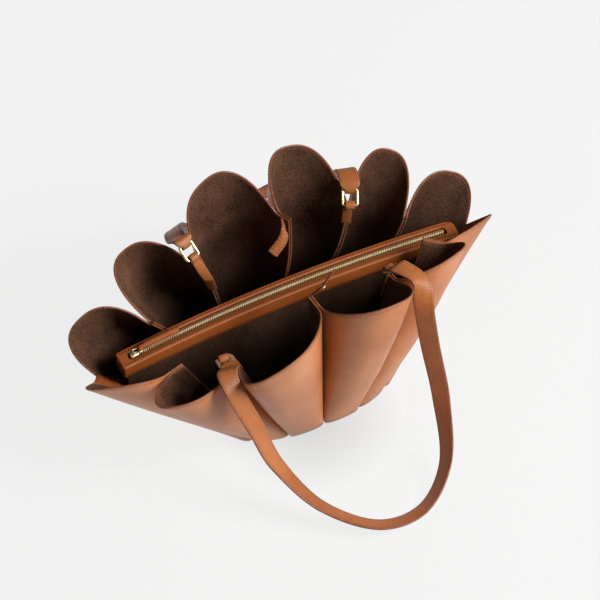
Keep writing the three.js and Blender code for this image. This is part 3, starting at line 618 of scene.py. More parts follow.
for name, end, way in (("left", 0, 1.0), ("right", -1, -1.0)):
    inward = np.array([way, 0, 0])
    seams = []
    for folds, _, sign in SIDES.values():
        ends = fold_ends(folds[end], sign)
        seams.append((ends["floor"][1], ends["rim"][1]))
    level = np.linspace(STRIP_BOTTOM, STRIP_TOP, 25)[:, None, None]
    across = np.linspace(-STRIP_OVERLAP, 1 + STRIP_OVERLAP, 13)[None, :, None]
    front, back = [low + (high - low) * level for low, high in seams]
    grid = front + (back - front) * across + inward * (STRIP_INSET + STRIP_THICKNESS / 2)
    grid = grid + inward * STRIP_SAG * np.sin(math.pi * across)
    normal = grid_normals(grid)
    normal = normal * np.sign((normal @ inward))[..., None]
    points, faces, kinds = sheet_with_beads(grid, normal, STRIP_THICKNESS)
    piece(f"seam_strip_{name}", points, faces, [band_brown, camel, edge_paint], kinds,
          [f"side_strip_{name}"], "strap_leather")
    rows = []
    for inset in STRIP_STITCHES:
        line = grid[-1] - unit(grid[-1] - grid[-2]) * inset + normal[-1] * STRIP_THICKNESS / 2
        rows.append(stitch_row(line, normal[-1]))
    sew(f"seam_strip_stitching_{name}", rows, brown_thread)
print("side strips: 2")

# %% [markdown]
# A flat pocket of suede stands along the middle of the bag and divides it. Its walls lean, bow and ripple a
# little. They are worked out as one folded strip along the bag: down the back, across the bottom and up the
# front, with a wall's thickness.

# %% Pocket pouch
POCKET_TOP, POCKET_HALF_LENGTH, POCKET_Y, POCKET_BOW = 117, 183, 8.6, 9
POCKET_HALF_TOP, POCKET_HALF_BOTTOM, POCKET_WALL = 8.5, 3, 1.6
POUCH_FLOOR, SIDE_SLOPE, SIDE_CLEAR = 3.4, 120 / 121, 5.8
POUCH_RIPPLE, POUCH_RIPPLE_SIZE, POUCH_RIPPLE_SEED = 0.8, 38, 11.3


def pocket_shift(x, z):
    bow = POCKET_BOW * (1 - (x / POCKET_HALF_LENGTH) ** 2)
    return (POCKET_Y + bow) * z / POCKET_TOP


def on_pocket(x, y, z):
    """A point given across the pocket, moved with the pocket's lean and bow."""
    x, y, z = np.broadcast_arrays(np.asarray(x, float), np.asarray(y, float), np.asarray(z, float))
    return np.stack([x, y + pocket_shift(x, z), z], -1)


rings = []
for x in np.linspace(-POCKET_HALF_LENGTH, POCKET_HALF_LENGTH, 121):
    low = max(POUCH_FLOOR, (abs(x) + SIDE_CLEAR - BASE_HALF_WIDTH) * SIDE_SLOPE)
    height = low + (POCKET_TOP - low) * np.linspace(0, 1, 13)
    rise = (height - POUCH_FLOOR) / (POCKET_TOP - POUCH_FLOOR)
    narrow = POCKET_HALF_BOTTOM + (POCKET_HALF_TOP - POCKET_HALF_BOTTOM) * rise
    outer = np.stack([narrow, height], -1)
    inner = np.stack([narrow - POCKET_WALL, np.maximum(height, low + POCKET_WALL)], -1)
    profile = np.vstack([outer[::-1], outer * (-1, 1), inner[::-1] * (-1, 1), inner])
    rings.append(on_pocket(x, profile[:, 0], profile[:, 1]))
rings = np.array(rings)
held = np.sin(math.pi * np.clip(rings[..., 2] / POCKET_TOP, 0, 1))
ripple = soft_noise(rings, POUCH_RIPPLE_SIZE, POUCH_RIPPLE_SEED) * held
rings[..., 1] += POUCH_RIPPLE * ripple
sweep("suede_pocket", rings, [lining], "pocket_pouch", "suede")
print("pocket pouch:", len(rings), "stations")

# %% [markdown]
# The pocket's mouth is bound with a band of leather: a skirt folded over each side, and a flat top with a
# long slot for the zip. Each half is swept along the bag from a profile with rounded folds. At the ends the
# slot closes, so the halves meet there, and a small wall shuts the end.

# %% Pocket band
BAND_IN, BAND_OUT, BAND_LOW, BAND_TOP, BAND_HALF_LENGTH = 8.9, 10.9, 104.4, 119.4, 187
SLOT_HALF_LENGTH, SLOT_HALF_WIDTH = 177, 5
BAND_FOLD, BAND_LIP, BAND_THICKNESS, BAND_HEM, BAND_END_WALL = 1.6, 0.9, 2, 0.95, 1.2
BAND_ROUND_LEFT, BAND_ROUND_RIGHT, BAND_INSIDE = 2.5, 9, 6
BAND_STITCH_WIDTH, BAND_STITCH_RISE, SLOT_STITCH, HEM_STITCH = 1.2, 0.2, 2.4, 2.8


def arc(centre_y, centre_z, radius, start, end, steps=5):
    angle = np.radians(np.linspace(start, end, steps))
    return np.stack([centre_y + radius * np.cos(angle), centre_z + radius * np.sin(angle)], -1)


def band_profile(slot):
    """One half of the band across: up the inside, round the slot's lip, over the top and down the skirt."""
    under = BAND_TOP - BAND_THICKNESS
    inside = np.array([(BAND_IN, BAND_LOW + 0.6), (BAND_IN, (BAND_LOW + under) / 2), (BAND_IN, under - 0.5),
                       (BAND_IN - 0.5, under)])
    if slot > 0:
        slot_edge = arc(slot + BAND_LIP, BAND_TOP - 1, BAND_LIP, 270, 90)
    else:
        slot_edge = np.array([(0, under), (0, under), (0, BAND_TOP - 1), (0, BAND_TOP), (0, BAND_TOP)])
    top = np.stack([np.linspace(max(slot, 0) + 1.6, BAND_OUT - BAND_FOLD, 4)[:-1], [BAND_TOP] * 3], -1)
    fold = arc(BAND_OUT - BAND_FOLD, BAND_TOP - BAND_FOLD, BAND_FOLD, 90, 0)
    skirt = np.array([(BAND_OUT, BAND_TOP - 5), (BAND_OUT + 0.15, BAND_TOP - 9)])
    hem = arc(BAND_OUT - BAND_HEM, BAND_LOW + BAND_HEM, BAND_HEM, 0, -180, 7)
    return np.vstack([inside, slot_edge, top, fold, skirt, hem])


band_x = np.concatenate([np.linspace(-BAND_HALF_LENGTH, -SLOT_HALF_LENGTH + 5, 15),
                         np.linspace(-SLOT_HALF_LENGTH + 8, SLOT_HALF_LENGTH - 8, 81),
                         np.linspace(SLOT_HALF_LENGTH - 5, BAND_HALF_LENGTH, 15)])
halves = []
for sign in (-1, 1):
    rings = []
    for x in band_x:
        past = (abs(x) - SLOT_HALF_LENGTH + SLOT_HALF_WIDTH) / SLOT_HALF_WIDTH
        slot = SLOT_HALF_WIDTH * math.sqrt(max(1 - max(past, 0) ** 2, 0))
        profile = band_profile(slot)
        corner = BAND_ROUND_LEFT if x < 0 else BAND_ROUND_RIGHT
        end = max((abs(x) - BAND_HALF_LENGTH + corner) / corner, 0)
        pulled_in = corner * (1 - math.sqrt(max(1 - end ** 2, 0))) * 0.6
        profile = profile * (1 - pulled_in / BAND_OUT, 1) + (0, -0.5 * end ** 2)
        rings.append(on_pocket(x, sign * profile[:, 0], profile[:, 1]))
    halves.append((rings, swept_faces(rings)))
    for end in (0, -1):
        wall = np.vstack([rings[end][BAND_INSIDE:], on_pocket(band_x[end], [0], [BAND_LOW + 0.5])])
        wall = [wall, wall - (BAND_END_WALL * np.sign(band_x[end]), 0, 0)]
        halves.append((wall, swept_faces(wall)))
piece("zip_band", *join(*halves), [band_brown], stands_for=["pocket_band"], slot="strap_leather")

band_rows = []
stitch_x = np.linspace(-BAND_HALF_LENGTH + 3, BAND_HALF_LENGTH - 3, 150)
for sign in (-1, 1):
    rows = ((SLOT_HALF_WIDTH + SLOT_STITCH, BAND_TOP + BAND_STITCH_RISE, UP),
            (BAND_OUT + BAND_STITCH_RISE, BAND_LOW + HEM_STITCH, np.array([0, sign, 0.0])))
    for y, z, normal in rows:
        band_rows.append(stitch_row(on_pocket(stitch_x, sign * y, z), normal, width=BAND_STITCH_WIDTH))
sew("zip_band_stitching", band_rows, brown_thread)
print("zip band:", len(band_x), "stations")

# %% [markdown]
# The zip itself: two woven tapes, and gilt teeth that lock turn and turn about. Each tooth is a separate
# little block with a waist, clamped on its own tape and reaching past the middle between two of the others.

# %% Zip tapes and teeth
TAPE_TOP, TAPE_THICKNESS, TAPE_INNER, TAPE_OUTER = 117.1, 1.0, 1.2, 6.5
TEETH_HALF_LENGTH, TEETH_LOW, TOOTH_PITCH, TOOTH_MIDDLE = 174, 117.5, 2.4, 0.8
# Columns: reach across, half length along the zip
TOOTH_PLAN = np.array([(1.8, 0.42), (1.0, 0.42), (0.5, 0.34), (-0.5, 0.42), (-0.8, 0.26)])
# Columns: share of the plan, height
TOOTH_LAYERS = [(1.0, 0.0), (1.0, 1.2), (0.86, 1.65), (0.6, 1.8)]

tape_x = np.linspace(-SLOT_HALF_LENGTH, SLOT_HALF_LENGTH, 90)
for name, sign in (("front", -1), ("back", 1)):
    profile = np.array([(TAPE_INNER, -TAPE_THICKNESS), (TAPE_OUTER, -TAPE_THICKNESS), (TAPE_OUTER, -0.1),
                        ((TAPE_INNER + TAPE_OUTER) / 2, 0), (TAPE_INNER + 0.2, 0), (TAPE_INNER, -0.2)])
    rings = [on_pocket(x, sign * profile[:, 0], TAPE_TOP + profile[:, 1]) for x in tape_x]
    sweep(f"woven_tape_{name}", rings, [tape_cloth], f"zip_tape_{name}", "zip_tape")

teeth, outline = [], np.vstack([TOOTH_PLAN, (TOOTH_PLAN * (1, -1))[::-1]])
tooth_count = int(2 * TEETH_HALF_LENGTH / TOOTH_PITCH)
for k in range(2 * tooth_count):
    sign = 1 if k % 2 else -1
    x = -TEETH_HALF_LENGTH + (k + 0.5) * TOOTH_PITCH / 2
    rings = []
    for share, z in TOOTH_LAYERS:
        reach = TOOTH_MIDDLE + (outline[:, 0] - TOOTH_MIDDLE) * share
        rings.append(on_pocket(x + outline[:, 1] * share, sign * reach, TEETH_LOW + z))
    teeth.append((rings, swept_faces(rings)))
piece("zip_chain", *join(*teeth), [tooth_gold], stands_for=["zip_teeth"], slot="gold")
print("teeth:", 2 * tooth_count)

# %% [markdown]
# The slider is cast: a low shield that narrows to its tail, with a ridge along the top. Over it lies a wire
# link with a long padded pull, two skins of leather over a filling, stitched round its edge. Slider and
# pull are built as coarse rings and smoothed by a subdivision surface.

# %% Slider, link and pull
SLIDER_X, SLIDER_LOW, SLIDER_LENGTH, SLIDER_WIDTH, SLIDER_HEIGHT = -170, 119.7, 9, 8, 2.4
SLIDER_TAPER, SLIDER_END, SLIDER_FLAT = 0.35, 0.8, 0.55
LINK_WIRE, LINK_LENGTH, LINK_WIDTH, LINK_CORNER, LINK_CLEAR, LINK_OVERLAP = 1.3, 9, 5.5, 1.5, 0.4, 1
PULL_LENGTH, PULL_WIDTH, PULL_THICKNESS, PULL_STITCH, PULL_STITCH_INSET = 47, 9, 3.4, 2.6, 1.5
PULL_SIDES, PULL_OVERLAP, PULL_STITCH_RISE = (0, 5, 6, 11), 3, 0.8
# Columns: share of the half width, share of the height
SLIDER_SECTION = np.array([(-1, 0), (-1, 0.35), (-0.55, 0.6), (-0.22, 1),
                           (0.22, 1), (0.55, 0.6), (1, 0.35), (1, 0)])
PULL_SECTION = np.array([(-1, 0.4), (-0.98, 0.62), (-0.7, 0.72), (0, 1), (0.7, 0.72), (0.98, 0.62),
                         (1, 0.4), (0.98, 0.18), (0.7, 0.06), (0, 0), (-0.7, 0.06), (-0.98, 0.18)])
# Columns: share of the length, share of the width or of the thickness there
PULL_WIDTHS = [(0, 0.5), (0.015, 0.6), (0.05, 0.66), (0.1, 0.76), (0.16, 1), (0.94, 1), (0.985, 0.86),
               (1, 0.7)]
PULL_THICKNESSES = [(0, 0.5), (0.05, 0.8), (0.2, 1), (0.9, 1), (1, 0.5)]


def smoothed(made):
    modifier = made.modifiers.new("smooth form", "SUBSURF")
    modifier.levels = modifier.render_levels = 2
    return made


def wire_loop(half_width, half_height, corner, wire, steps=7, sides=12):
    """Points and faces of a closed wire round a rectangle with rounded corners, in the XY plane."""
    rings = []
    turn = 2 * math.pi * np.arange(sides)[:, None] / sides
    for k, way in enumerate(((1, 1, 0), (-1, 1, 0), (-1, -1, 0), (1, -1, 0))):
        centre = np.array(way) * (half_width - corner, half_height - corner, 0)
        for a in np.linspace(k, k + 1, steps) * math.pi / 2:
            out = np.array([math.cos(a), math.sin(a), 0])
            rings.append(centre + out * corner + wire / 2 * (np.cos(turn) * out + np.sin(turn) * UP))
    return np.vstack(rings), quads(len(rings), sides, wrap=True, close=True)


zip_y = lambda x: pocket_shift(x, TEETH_LOW)
placed = lambda x, section: np.insert(section, 0, x, axis=1)
slider_rings = []
for t in (0, 0.06, 0.3, 0.5, 0.72, 0.94, 1):
    x = SLIDER_X + (t - 0.5) * SLIDER_LENGTH
    half = SLIDER_WIDTH / 2 * (1 - SLIDER_TAPER * t) * (SLIDER_END if t in (0, 1) else 1)
    crown = SLIDER_HEIGHT * (SLIDER_FLAT + (1 - SLIDER_FLAT) * math.sin(math.pi * t))
    slider_rings.append(placed(x, SLIDER_SECTION * (half, crown) + (zip_y(SLIDER_X), SLIDER_LOW)))
smoothed(sweep("cast_slider", slider_rings, [gold], "zip_slider", "gold"))

link_z = SLIDER_LOW + SLIDER_HEIGHT + LINK_WIRE / 2 + LINK_CLEAR
link_x = SLIDER_X + LINK_LENGTH / 2 - LINK_OVERLAP
points, faces = wire_loop(LINK_LENGTH / 2, LINK_WIDTH / 2, LINK_CORNER, LINK_WIRE)
piece("pull_link", points + (link_x, zip_y(link_x), link_z), faces, [gold], stands_for=["zip_link"],
      slot="gold")

pull_low, pull_start = link_z + LINK_WIRE / 2 + LINK_CLEAR, link_x + LINK_LENGTH / 2 - PULL_OVERLAP
pull_rings, pull_edge = [], []
for t in (0, 0.015, 0.05, 0.1, 0.16, 0.3, 0.5, 0.7, 0.86, 0.94, 0.985, 1):
    x = pull_start + t * PULL_LENGTH
    half = np.interp(t, *zip(*PULL_WIDTHS)) * PULL_WIDTH / 2
    thick = np.interp(t, *zip(*PULL_THICKNESSES)) * PULL_THICKNESS
    pull_rings.append(placed(x, PULL_SECTION * (half, thick) + (zip_y(x), pull_low)))
    pull_edge.append((x, half - PULL_STITCH_INSET, pull_low + PULL_STITCH_RISE * thick))
pull = smoothed(sweep("padded_pull", pull_rings, [pull_brown, edge_paint], "zip_pull", "strap_leather",
                      PULL_SIDES))
x, reach, z = np.array(pull_edge)[3:-1].T
outline = np.vstack([np.stack([x, zip_y(x) + s * reach, z], -1)[::s] for s in (1, -1)])
sew("pull_stitching", [stitch_row(outline, UP, PULL_STITCH, BAND_STITCH_WIDTH)], brown_thread)
print("pull from", round(pull_start), "to", round(pull_start + PULL_LENGTH), "mm")

# %% [markdown]
# Every strap on the bag is two skins of leather glued back to back, slightly crowned, with rounded painted
# edges. One function sweeps that section along a line of points, given the direction across the strap and
# its width at each point. Another sews rows of stitches near both edges.

# %% Straps
STRAP_EDGE, STRAP_FLAT = np.radians(np.linspace(-90, 90, 7)), np.linspace(1, -1, 9)[1:-1]
STRAP_HALF, STRAP_CROWN, STRAP_STITCH_SINK = len(STRAP_EDGE) + len(STRAP_FLAT), 0.25, 0.02
STRAP_PAINTED = [k + side for side in (0, STRAP_HALF) for k in range(len(STRAP_EDGE) - 1)]


def strap_frame(points, across):
    tangent = unit(np.gradient(points, axis=0))
    side = unit(across - tangent * np.sum(across * tangent, -1, keepdims=True))
    return side, np.cross(tangent, side)


def strap(name, points, across, widths, thickness, stands_for):
    """A strap from its sections: a rounded edge and the top, then the other edge and the underside."""
    side, face = strap_frame(points, across)
    radius = thickness / 2 - STRAP_CROWN / 2
    rings = []
    for p, s, f, width in zip(points, side, face, widths):
        reach = width / 2 - radius
        edge = [(reach + radius * math.cos(a), radius * math.sin(a)) for a in STRAP_EDGE]
        half = np.array(edge + [(u * reach, radius + STRAP_CROWN * (1 - u ** 2)) for u in STRAP_FLAT])
        section = np.vstack([half, -half])
        rings.append(p + section[:, :1] * s + section[:, 1:] * f)
    sweep(name, rings, [strap_brown, edge_paint], stands_for, "strap_leather", STRAP_PAINTED)


def strap_stitches(points, across, widths, thickness, inset):
    """Rows of stitches along both edges of a strap, on its top and its underside."""
    side, face = strap_frame(points, across)
    off, rise = (widths / 2 - inset)[:, None], thickness / 2 - STRAP_STITCH_SINK
    return [stitch_row(points + edge * side * off + up * face * rise, up * face)
            for up in (1, -1) for edge in (1, -1)]


def stitches_across(at, points, side, face, reach, rise, pitch=STITCH_PITCH):
    """A row of stitches across a strap at one station; rise is the way from its middle to either face."""
    row = points[at] + side[at] * np.linspace(-reach, reach, 12)[:, None] + face[at] * rise
    return stitch_row(row, np.sign(rise) * face[at], pitch)


def even_strap(points, across, widths, step):
    """A strap's line, directions and widths at an even step."""
    points, across, widths = resample(points, step, across, np.asarray(widths, float)[:, None])
    return points, unit(across), widths[:, 0]


def loop_round(bar, run, normal, reach, degrees=180, steps=18):
    a = np.radians(np.linspace(0, degrees, steps + 1))[:, None]
    return bar - normal * reach * np.cos(a) - run * reach * np.sin(a)


print("strap section:", 2 * STRAP_HALF, "points")

# %% [markdown]
# Four square gilt rings carry the handles. Each sits in a leather tab that loops its lower bar and runs
# down the inner edge of a fin, where it is sewn on. The ring's seat, turn and rise are the same values as
# in the solids.

# %% Rings and tabs
RING_WIRE, RING_HALF_WIDTH, RING_HALF_HEIGHT, RING_CORNER = 3.2, 7.3, 8, 2
TAB_WIDTH, TAB_LENGTH, TAB_TURN, TAB_THICKNESS, TAB_CLEAR, TAB_START = 10, 26, 265, 2, 0.6, 0.03
TAB_STEP, TAB_STITCH, TAB_STITCH_INSET, TAB_RING_CLEAR = 0.7, 2.4, 2, 1
# Stations of the two rows of stitches, counted back from the tab's end
TAB_SEAMS = (-4, -26)
# Columns: name, side, fold, seat x, y, z, turn, rise
RINGS = [
    ("front_left", "front", 2, -105, -60, 161, -4, 24),
    ("front_right", "front", 4, 89, -39, 169, 16, 45),
    ("back_left", "back", 2, -86, 47, 187, 16, 36),
    ("back_right", "back", 4, 87, 45, 173, -24, 30),
]
ring_frames = {}
for name, side, number, x, y, z, turn, rise in RINGS:
    folds, _, sign = SIDES[side]
    t, r = math.radians(turn), math.radians(rise)
    across = np.array([math.cos(t), math.sin(t), 0])
    outward = np.cross(UP, across) * sign
    up = outward * math.cos(r) + UP * math.sin(r)
    low_bar = np.array([x, y, z], float)
    top_side = np.cross(across, up) * sign
    ring_frames[name] = (across, up, top_side, low_bar + up * 2 * RING_HALF_HEIGHT)

    points, faces = wire_loop(RING_HALF_WIDTH, RING_HALF_HEIGHT, RING_CORNER, RING_WIRE)
    axes = np.stack([across, up, np.cross(across, up)])
    piece(f"square_ring_{name}", low_bar + up * RING_HALF_HEIGHT + points @ axes, faces, [gold],
          stands_for=[f"ring_{name}"], slot="gold")

    ends = fold_ends(folds[number], sign)
    corner, floor = ends["rim"][0], ends["floor"][0]
    leg = folds[number][3:6] * (1, 1, 0)
    inward = -unit(leg)
    flush = np.cross(inward, UP) * -sign
    loop = loop_round(low_bar, -up, top_side, RING_WIRE / 2 + TAB_RING_CLEAR + TAB_THICKNESS / 2, TAB_TURN)
    level = 1 - np.linspace(TAB_START, 1, 12)[:, None] * TAB_LENGTH / corner[2]
    run = floor + (corner - floor) * level + ends["bow"] * np.sin(math.pi * level)
    run = run + inward * (TAB_THICKNESS / 2 + TAB_CLEAR)
    line = np.vstack([loop, run])
    lay = np.vstack([[across] * len(loop), [flush] * len(run)])
    widths = np.full(len(line), float(TAB_WIDTH))
    line, lay, widths = even_strap(line, lay, widths, TAB_STEP)
    line, lay = relaxed(line, 3), relaxed(lay, 3)
    strap(f"tab_{name}", line, lay, widths, TAB_THICKNESS, f"ring_tab_{name}")
    side_way, face = strap_frame(line, lay)
    reach, rise = TAB_WIDTH / 2 - TAB_STITCH_INSET, np.sign(face[-6] @ inward) * TAB_THICKNESS / 2
    rows = [stitches_across(at, line, side_way, face, reach, rise, TAB_STITCH) for at in TAB_SEAMS]
    sew(f"tab_stitching_{name}", rows, brown_thread)
print("rings:", len(ring_frames))

# %% [markdown]
# The handles leave their rings as narrow loops, widen at rounded shoulders, and fall over the rim to lie on
# the floor. The front one opens like a bowl, so its inner face shows all round. The route is a spline
# through a few points, each with the direction across the strap there.

# %% Handles
HANDLE_WIDTH, HANDLE_END_WIDTH, HANDLE_THICKNESS, HANDLE_SHOULDER, HANDLE_TAIL = 21, 10.4, 2.6, 7, 6
HANDLE_STEP, HANDLE_STITCH, HANDLE_SAMPLES, RING_CLEAR = 1.6, 2.8, 420, 0.4
# Stations with stitches along the edges, and those with a row across
HANDLE_SEWN, HANDLE_SEAMS = slice(14, -14), (25, -26)
# Columns: x, y, z and the direction across the strap
FRONT_ROUTE = np.array([
    (-115, -90, 180, 1, 0.1, 0), (-116, -106, 174, 1, 0.3, 0), (-100, -124, 120, 0.9, 0.4, -0.2),
    (-84, -140, 66, 0.8, 0.5, -0.4), (-54, -180, 26, 0.6, 0.6, -0.5), (-6, -216, 10, 0.4, 0.8, -0.5),
    (40, -216, 8, 0.2, 0.9, -0.5), (80, -186, 22, -0.2, 0.8, -0.6), (98, -140, 66, -0.6, 0.6, -0.5),
    (100, -110, 120, -0.7, 0.6, -0.3), (100, -96, 164, -0.8, 0.6, -0.2), (105, -77, 187, -0.9, 0, 0.4),
], float)
BACK_ROUTE = np.array([
    (-93, 70, 194, 0.9, -0.3, 0.3), (-90, 84, 184, 0.8, -0.3, 0.5), (-79, 106, 158, 0.5, -0.3, 0.8),
    (-56, 126, 116, 0.6, -0.2, 0.75), (-14, 154, 64, 0.8, -0.1, 0.55), (30, 190, 22, 0.57, 0, 0.82),
    (66, 200, 12, 0.1, 0, 1), (98, 184, 34, -0.6, 0.2, 0.75), (106, 148, 84, -0.95, 0.2, 0.25),
    (102, 112, 126, -0.99, 0.15, 0), (97, 94, 160, -0.98, 0.2, 0), (98, 77, 186, -0.95, 0.3, 0),
], float)


def spline(points, samples):
    """A centripetal spline through the points; returns places and their share of the way by point number."""
    points = np.asarray(points, float)
    padded = np.vstack([2 * points[0] - points[1], points, 2 * points[-1] - points[-2]])
    place = np.linspace(0, len(points) - 1, samples)
    made = []
    for u in place:
        k = min(int(u), len(points) - 2)
        w = u - k
        p0, p1, p2, p3 = padded[k:k + 4]
        d0, d1, d2 = [max(np.linalg.norm(b - a), 1e-4) ** 0.5 for a, b in ((p0, p1), (p1, p2), (p2, p3))]
        m1 = d1 * ((p1 - p0) / d0 - (p2 - p0) / (d0 + d1) + (p2 - p1) / d1)
        m2 = d1 * ((p2 - p1) / d1 - (p3 - p1) / (d1 + d2) + (p3 - p2) / d2)
        square, cube = -3 * p1 + 3 * p2 - 2 * m1 - m2, 2 * p1 - 2 * p2 + m1 + m2
        made.append(p1 + m1 * w + square * w ** 2 + cube * w ** 3)
    return np.array(made), place


def same_way(directions):
    """Directions flipped where needed, so that each agrees with the one before."""
    for k in range(1, len(directions)):
        if directions[k] @ directions[k - 1] < 0:
            directions[k] = -directions[k]
    return directions


def handle(name, route, start, end):
    reach = RING_WIRE / 2 + RING_CLEAR + HANDLE_THICKNESS / 2
    ends = []
    for ring, row in ((start, route[0]), (end, route[-1])):
        across, up, top_side, high_bar = ring_frames[ring]
        turn = loop_round(high_bar, up, top_side, reach)
        tail = turn[0] + up * np.linspace(1, 0.05, 8)[:, None] * HANDLE_TAIL
        knots = np.array([turn[-1], turn[-1] + up * HANDLE_TAIL])
        ends.append((np.vstack([tail, turn]), knots, across * np.sign(across @ row[3:])))
    (first, first_knots, first_lay), (last, last_knots, last_lay) = ends
    lies = np.vstack([[first_lay] * 2, route[:, 3:], [last_lay] * 2])
    middle, place = spline(np.vstack([first_knots, route[:, :3], last_knots[::-1]]), HANDLE_SAMPLES)
    lay = np.stack([np.interp(place, np.arange(len(lies)), lies[:, axis]) for axis in range(3)], -1)
    run = run_along(middle)
    shoulder = 1 - np.clip(np.minimum(run, run[-1] - run) / HANDLE_SHOULDER, 0, 1)
    widths = HANDLE_END_WIDTH + (HANDLE_WIDTH - HANDLE_END_WIDTH) * np.sqrt(1 - shoulder ** 2)
    line = np.vstack([first, middle[1:-1], last[::-1]])
    lay = np.vstack([[first_lay] * len(first), lay[1:-1], [last_lay] * len(last)])
    widths = np.pad(widths[1:-1], (len(first), len(last)), constant_values=HANDLE_END_WIDTH)
    line, lay, widths = even_strap(line, same_way(lay), widths, HANDLE_STEP)
    for _ in range(6):
        lay = unit(relaxed(lay, 1))
    strap(f"strap_{name}", line, lay, widths, HANDLE_THICKNESS, f"handle_{name}")
    rows = strap_stitches(*[row[HANDLE_SEWN] for row in (line, lay, widths)], HANDLE_THICKNESS, HANDLE_STITCH)
    side, face = strap_frame(line, lay)
    for at in HANDLE_SEAMS:
        for rise in (HANDLE_THICKNESS / 2, -HANDLE_THICKNESS / 2):
            rows.append(stitches_across(at, line, side, face, widths[at] / 2 - HANDLE_STITCH, rise))
    sew(f"strap_stitching_{name}", rows, tan_thread)
    print("handle", name, "is", round(run[-1]), "mm between its rings")


handle("front", FRONT_ROUTE, "front_left", "front_right")
handle("back", BACK_ROUTE, "back_left", "back_right")

# %% [markdown]
# Two short straps in the middle folds close the bag. Here it is open, so they stand away from each other.
# The front one carries a stud of turned metal with a head on each face, made by spinning a profile.

# %% Closure
CLOSURE_WIDTH, CLOSURE_THICKNESS, CLOSURE_STITCH, CLOSURE_POINTS = 11, 2.2, 2.2, 60
CLOSURE_SEWN = slice(3, -3)
FRONT_CLOSURE = [(2.2, -35.6, 169), (14, -38, 181), (30, -34, 196)]
FRONT_CLOSURE_ACROSS = [(-0.46, -0.62, 0.63)] * 2
BACK_CLOSURE = [(12.9, 47.2, 188), (9.5, 38, 188.5), (5, 31.5, 181.5), (-9, 26, 172)]
BACK_CLOSURE_ACROSS = [(0.29, 0, -0.96), (-0.08, -0.83, -0.55)]
STUD_HEAD, STUD_HEAD_THICKNESS, STUD_AT, STUD_CLEAR, STUD_FACETS = 3.6, 1.6, 0.55, 0.1, 28
# Columns: share of the head's radius, share of its thickness
STUD_PROFILE = [(0, 1), (0.45, 1), (0.72, 0.88), (0.93, 0.62), (1, 0.35), (0.94, 0.03125), (0.6, 0)]

closure_rows = []
for name, route, across in (("front", FRONT_CLOSURE, FRONT_CLOSURE_ACROSS),
                            ("back", BACK_CLOSURE, BACK_CLOSURE_ACROSS)):
    line, _ = spline(route, CLOSURE_POINTS)
    share = np.linspace(0, 1, CLOSURE_POINTS)[:, None]
    lay = np.array(across[0]) * (1 - share) + np.array(across[1]) * share
    widths = np.full(CLOSURE_POINTS, float(CLOSURE_WIDTH))
    strap(f"closing_strap_{name}", line, lay, widths, CLOSURE_THICKNESS, f"closure_strap_{name}")
    sewn = [row[CLOSURE_SEWN] for row in (line, lay, widths)]
    closure_rows += strap_stitches(*sewn, CLOSURE_THICKNESS, CLOSURE_STITCH)
    if name == "front":
        at = int(STUD_AT * (CLOSURE_POINTS - 1))
        side, face = strap_frame(line, lay)
        stud_middle, stud_axis, stud_side = line[at], face[at], side[at]
sew("closing_strap_stitching", closure_rows, brown_thread)

clear = CLOSURE_THICKNESS / 2 + STUD_CLEAR
head = np.array(STUD_PROFILE) * (STUD_HEAD, STUD_HEAD_THICKNESS) + (0, clear)
profile = np.vstack([head, head[::-1] * (1, -1)])
spin = 2 * math.pi * np.arange(STUD_FACETS)[:, None] / STUD_FACETS
around = np.cos(spin) * stud_side + np.sin(spin) * np.cross(stud_axis, stud_side)
rings = np.array([stud_middle + stud_axis * z + r * around for r, z in profile])
piece("turned_stud", rings, quads(len(profile), STUD_FACETS, wrap=True), [gold], stands_for=["closure_stud"],
      slot="gold")
print("closure straps: 2, stud at", np.round(stud_middle).tolist())

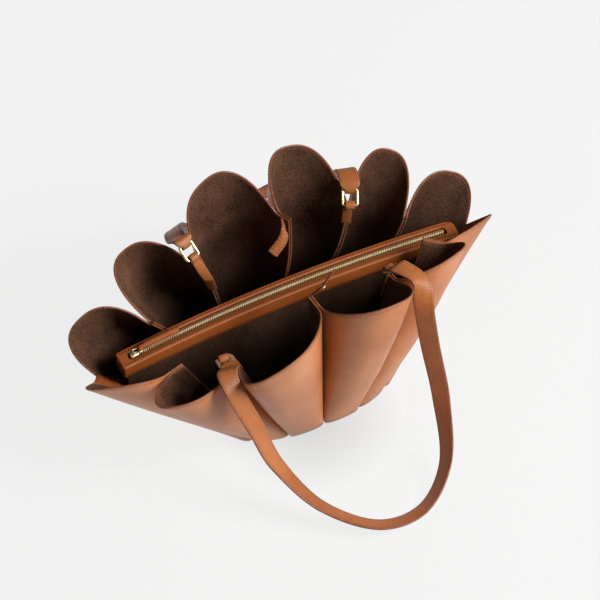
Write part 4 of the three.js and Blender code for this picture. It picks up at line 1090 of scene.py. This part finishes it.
# %% [markdown]
# The studio: a pale seamless floor, a broad soft light and an even white surround. The light comes from
# above on the front right, so that upward and right-facing leather is brightest and the inside stays deep.
# The floor glows, which would hide the soft contact shade at the bag's foot, so the glow dips there.

# %% Floor and light
FLOOR_GLOW, FLOOR_REACH, FLOOR_DROP, SURROUND = 0.83, 6, 0.0004, 0.12
PAPER_TONES = [(tone, tone, tone, 1) for tone in (0.06, 0.065)]
LIGHT_PLACE, LIGHT_AIM, LIGHT_SIZE, LIGHT_POWER = Vector((1.15, -1.0, 1.5)), Vector((0, 0, 0.1)), 0.9, 62
SHADE_MIDDLE, SHADE_FROM, SHADE_TO, SHADE_TONE = (-0.01, -0.06, 0), 0.02, 0.095, 0.76


def floor_finish():
    finish = Finish("studio_floor", Roughness=0.9, Specular_IOR_Level=0.1, Emission_Strength=FLOOR_GLOW)
    away = finish.node("ShaderNodeVectorMath", {"operation": "DISTANCE"}, {0: finish.place, 1: SHADE_MIDDLE},
                       output="Value")
    glow = finish.mix(finish.curve(away, SHADE_FROM, SHADE_TO), (*[SHADE_TONE] * 3, 1), (1, 1, 1, 1))
    return finish.set(Base_Color=finish.mix(finish.noise(3, 2), *PAPER_TONES), Emission_Color=glow)


plane = bpy.data.meshes.new("floor")
corners = ((-1, -1), (1, -1), (1, 1), (-1, 1))
plane.from_pydata([(x * FLOOR_REACH, y * FLOOR_REACH, 0) for x, y in corners], [], [(0, 1, 2, 3)])
plane.materials.append(floor_finish())
floor = bpy.data.objects.new("floor", plane)
floor.location.z = -FLOOR_DROP
scene.collection.objects.link(floor)
floor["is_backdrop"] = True

world = bpy.data.worlds.new("surround")
world.use_nodes = True
background = world.node_tree.nodes["Background"].inputs
background["Color"].default_value, background["Strength"].default_value = (1, 1, 1, 1), SURROUND
scene.world = world

lamp = bpy.data.lights.new("side_softbox", "AREA")
lamp.size, lamp.energy = LIGHT_SIZE, LIGHT_POWER
stand("side_softbox", lamp, LIGHT_PLACE, LIGHT_AIM - LIGHT_PLACE)
scene.view_settings.view_transform = "Standard"
scene.view_settings.look = "None"
print("lights: 1 and the surround")

low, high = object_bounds()
print("visual model", [round(h - l, 4) for l, h in zip(low, high)])
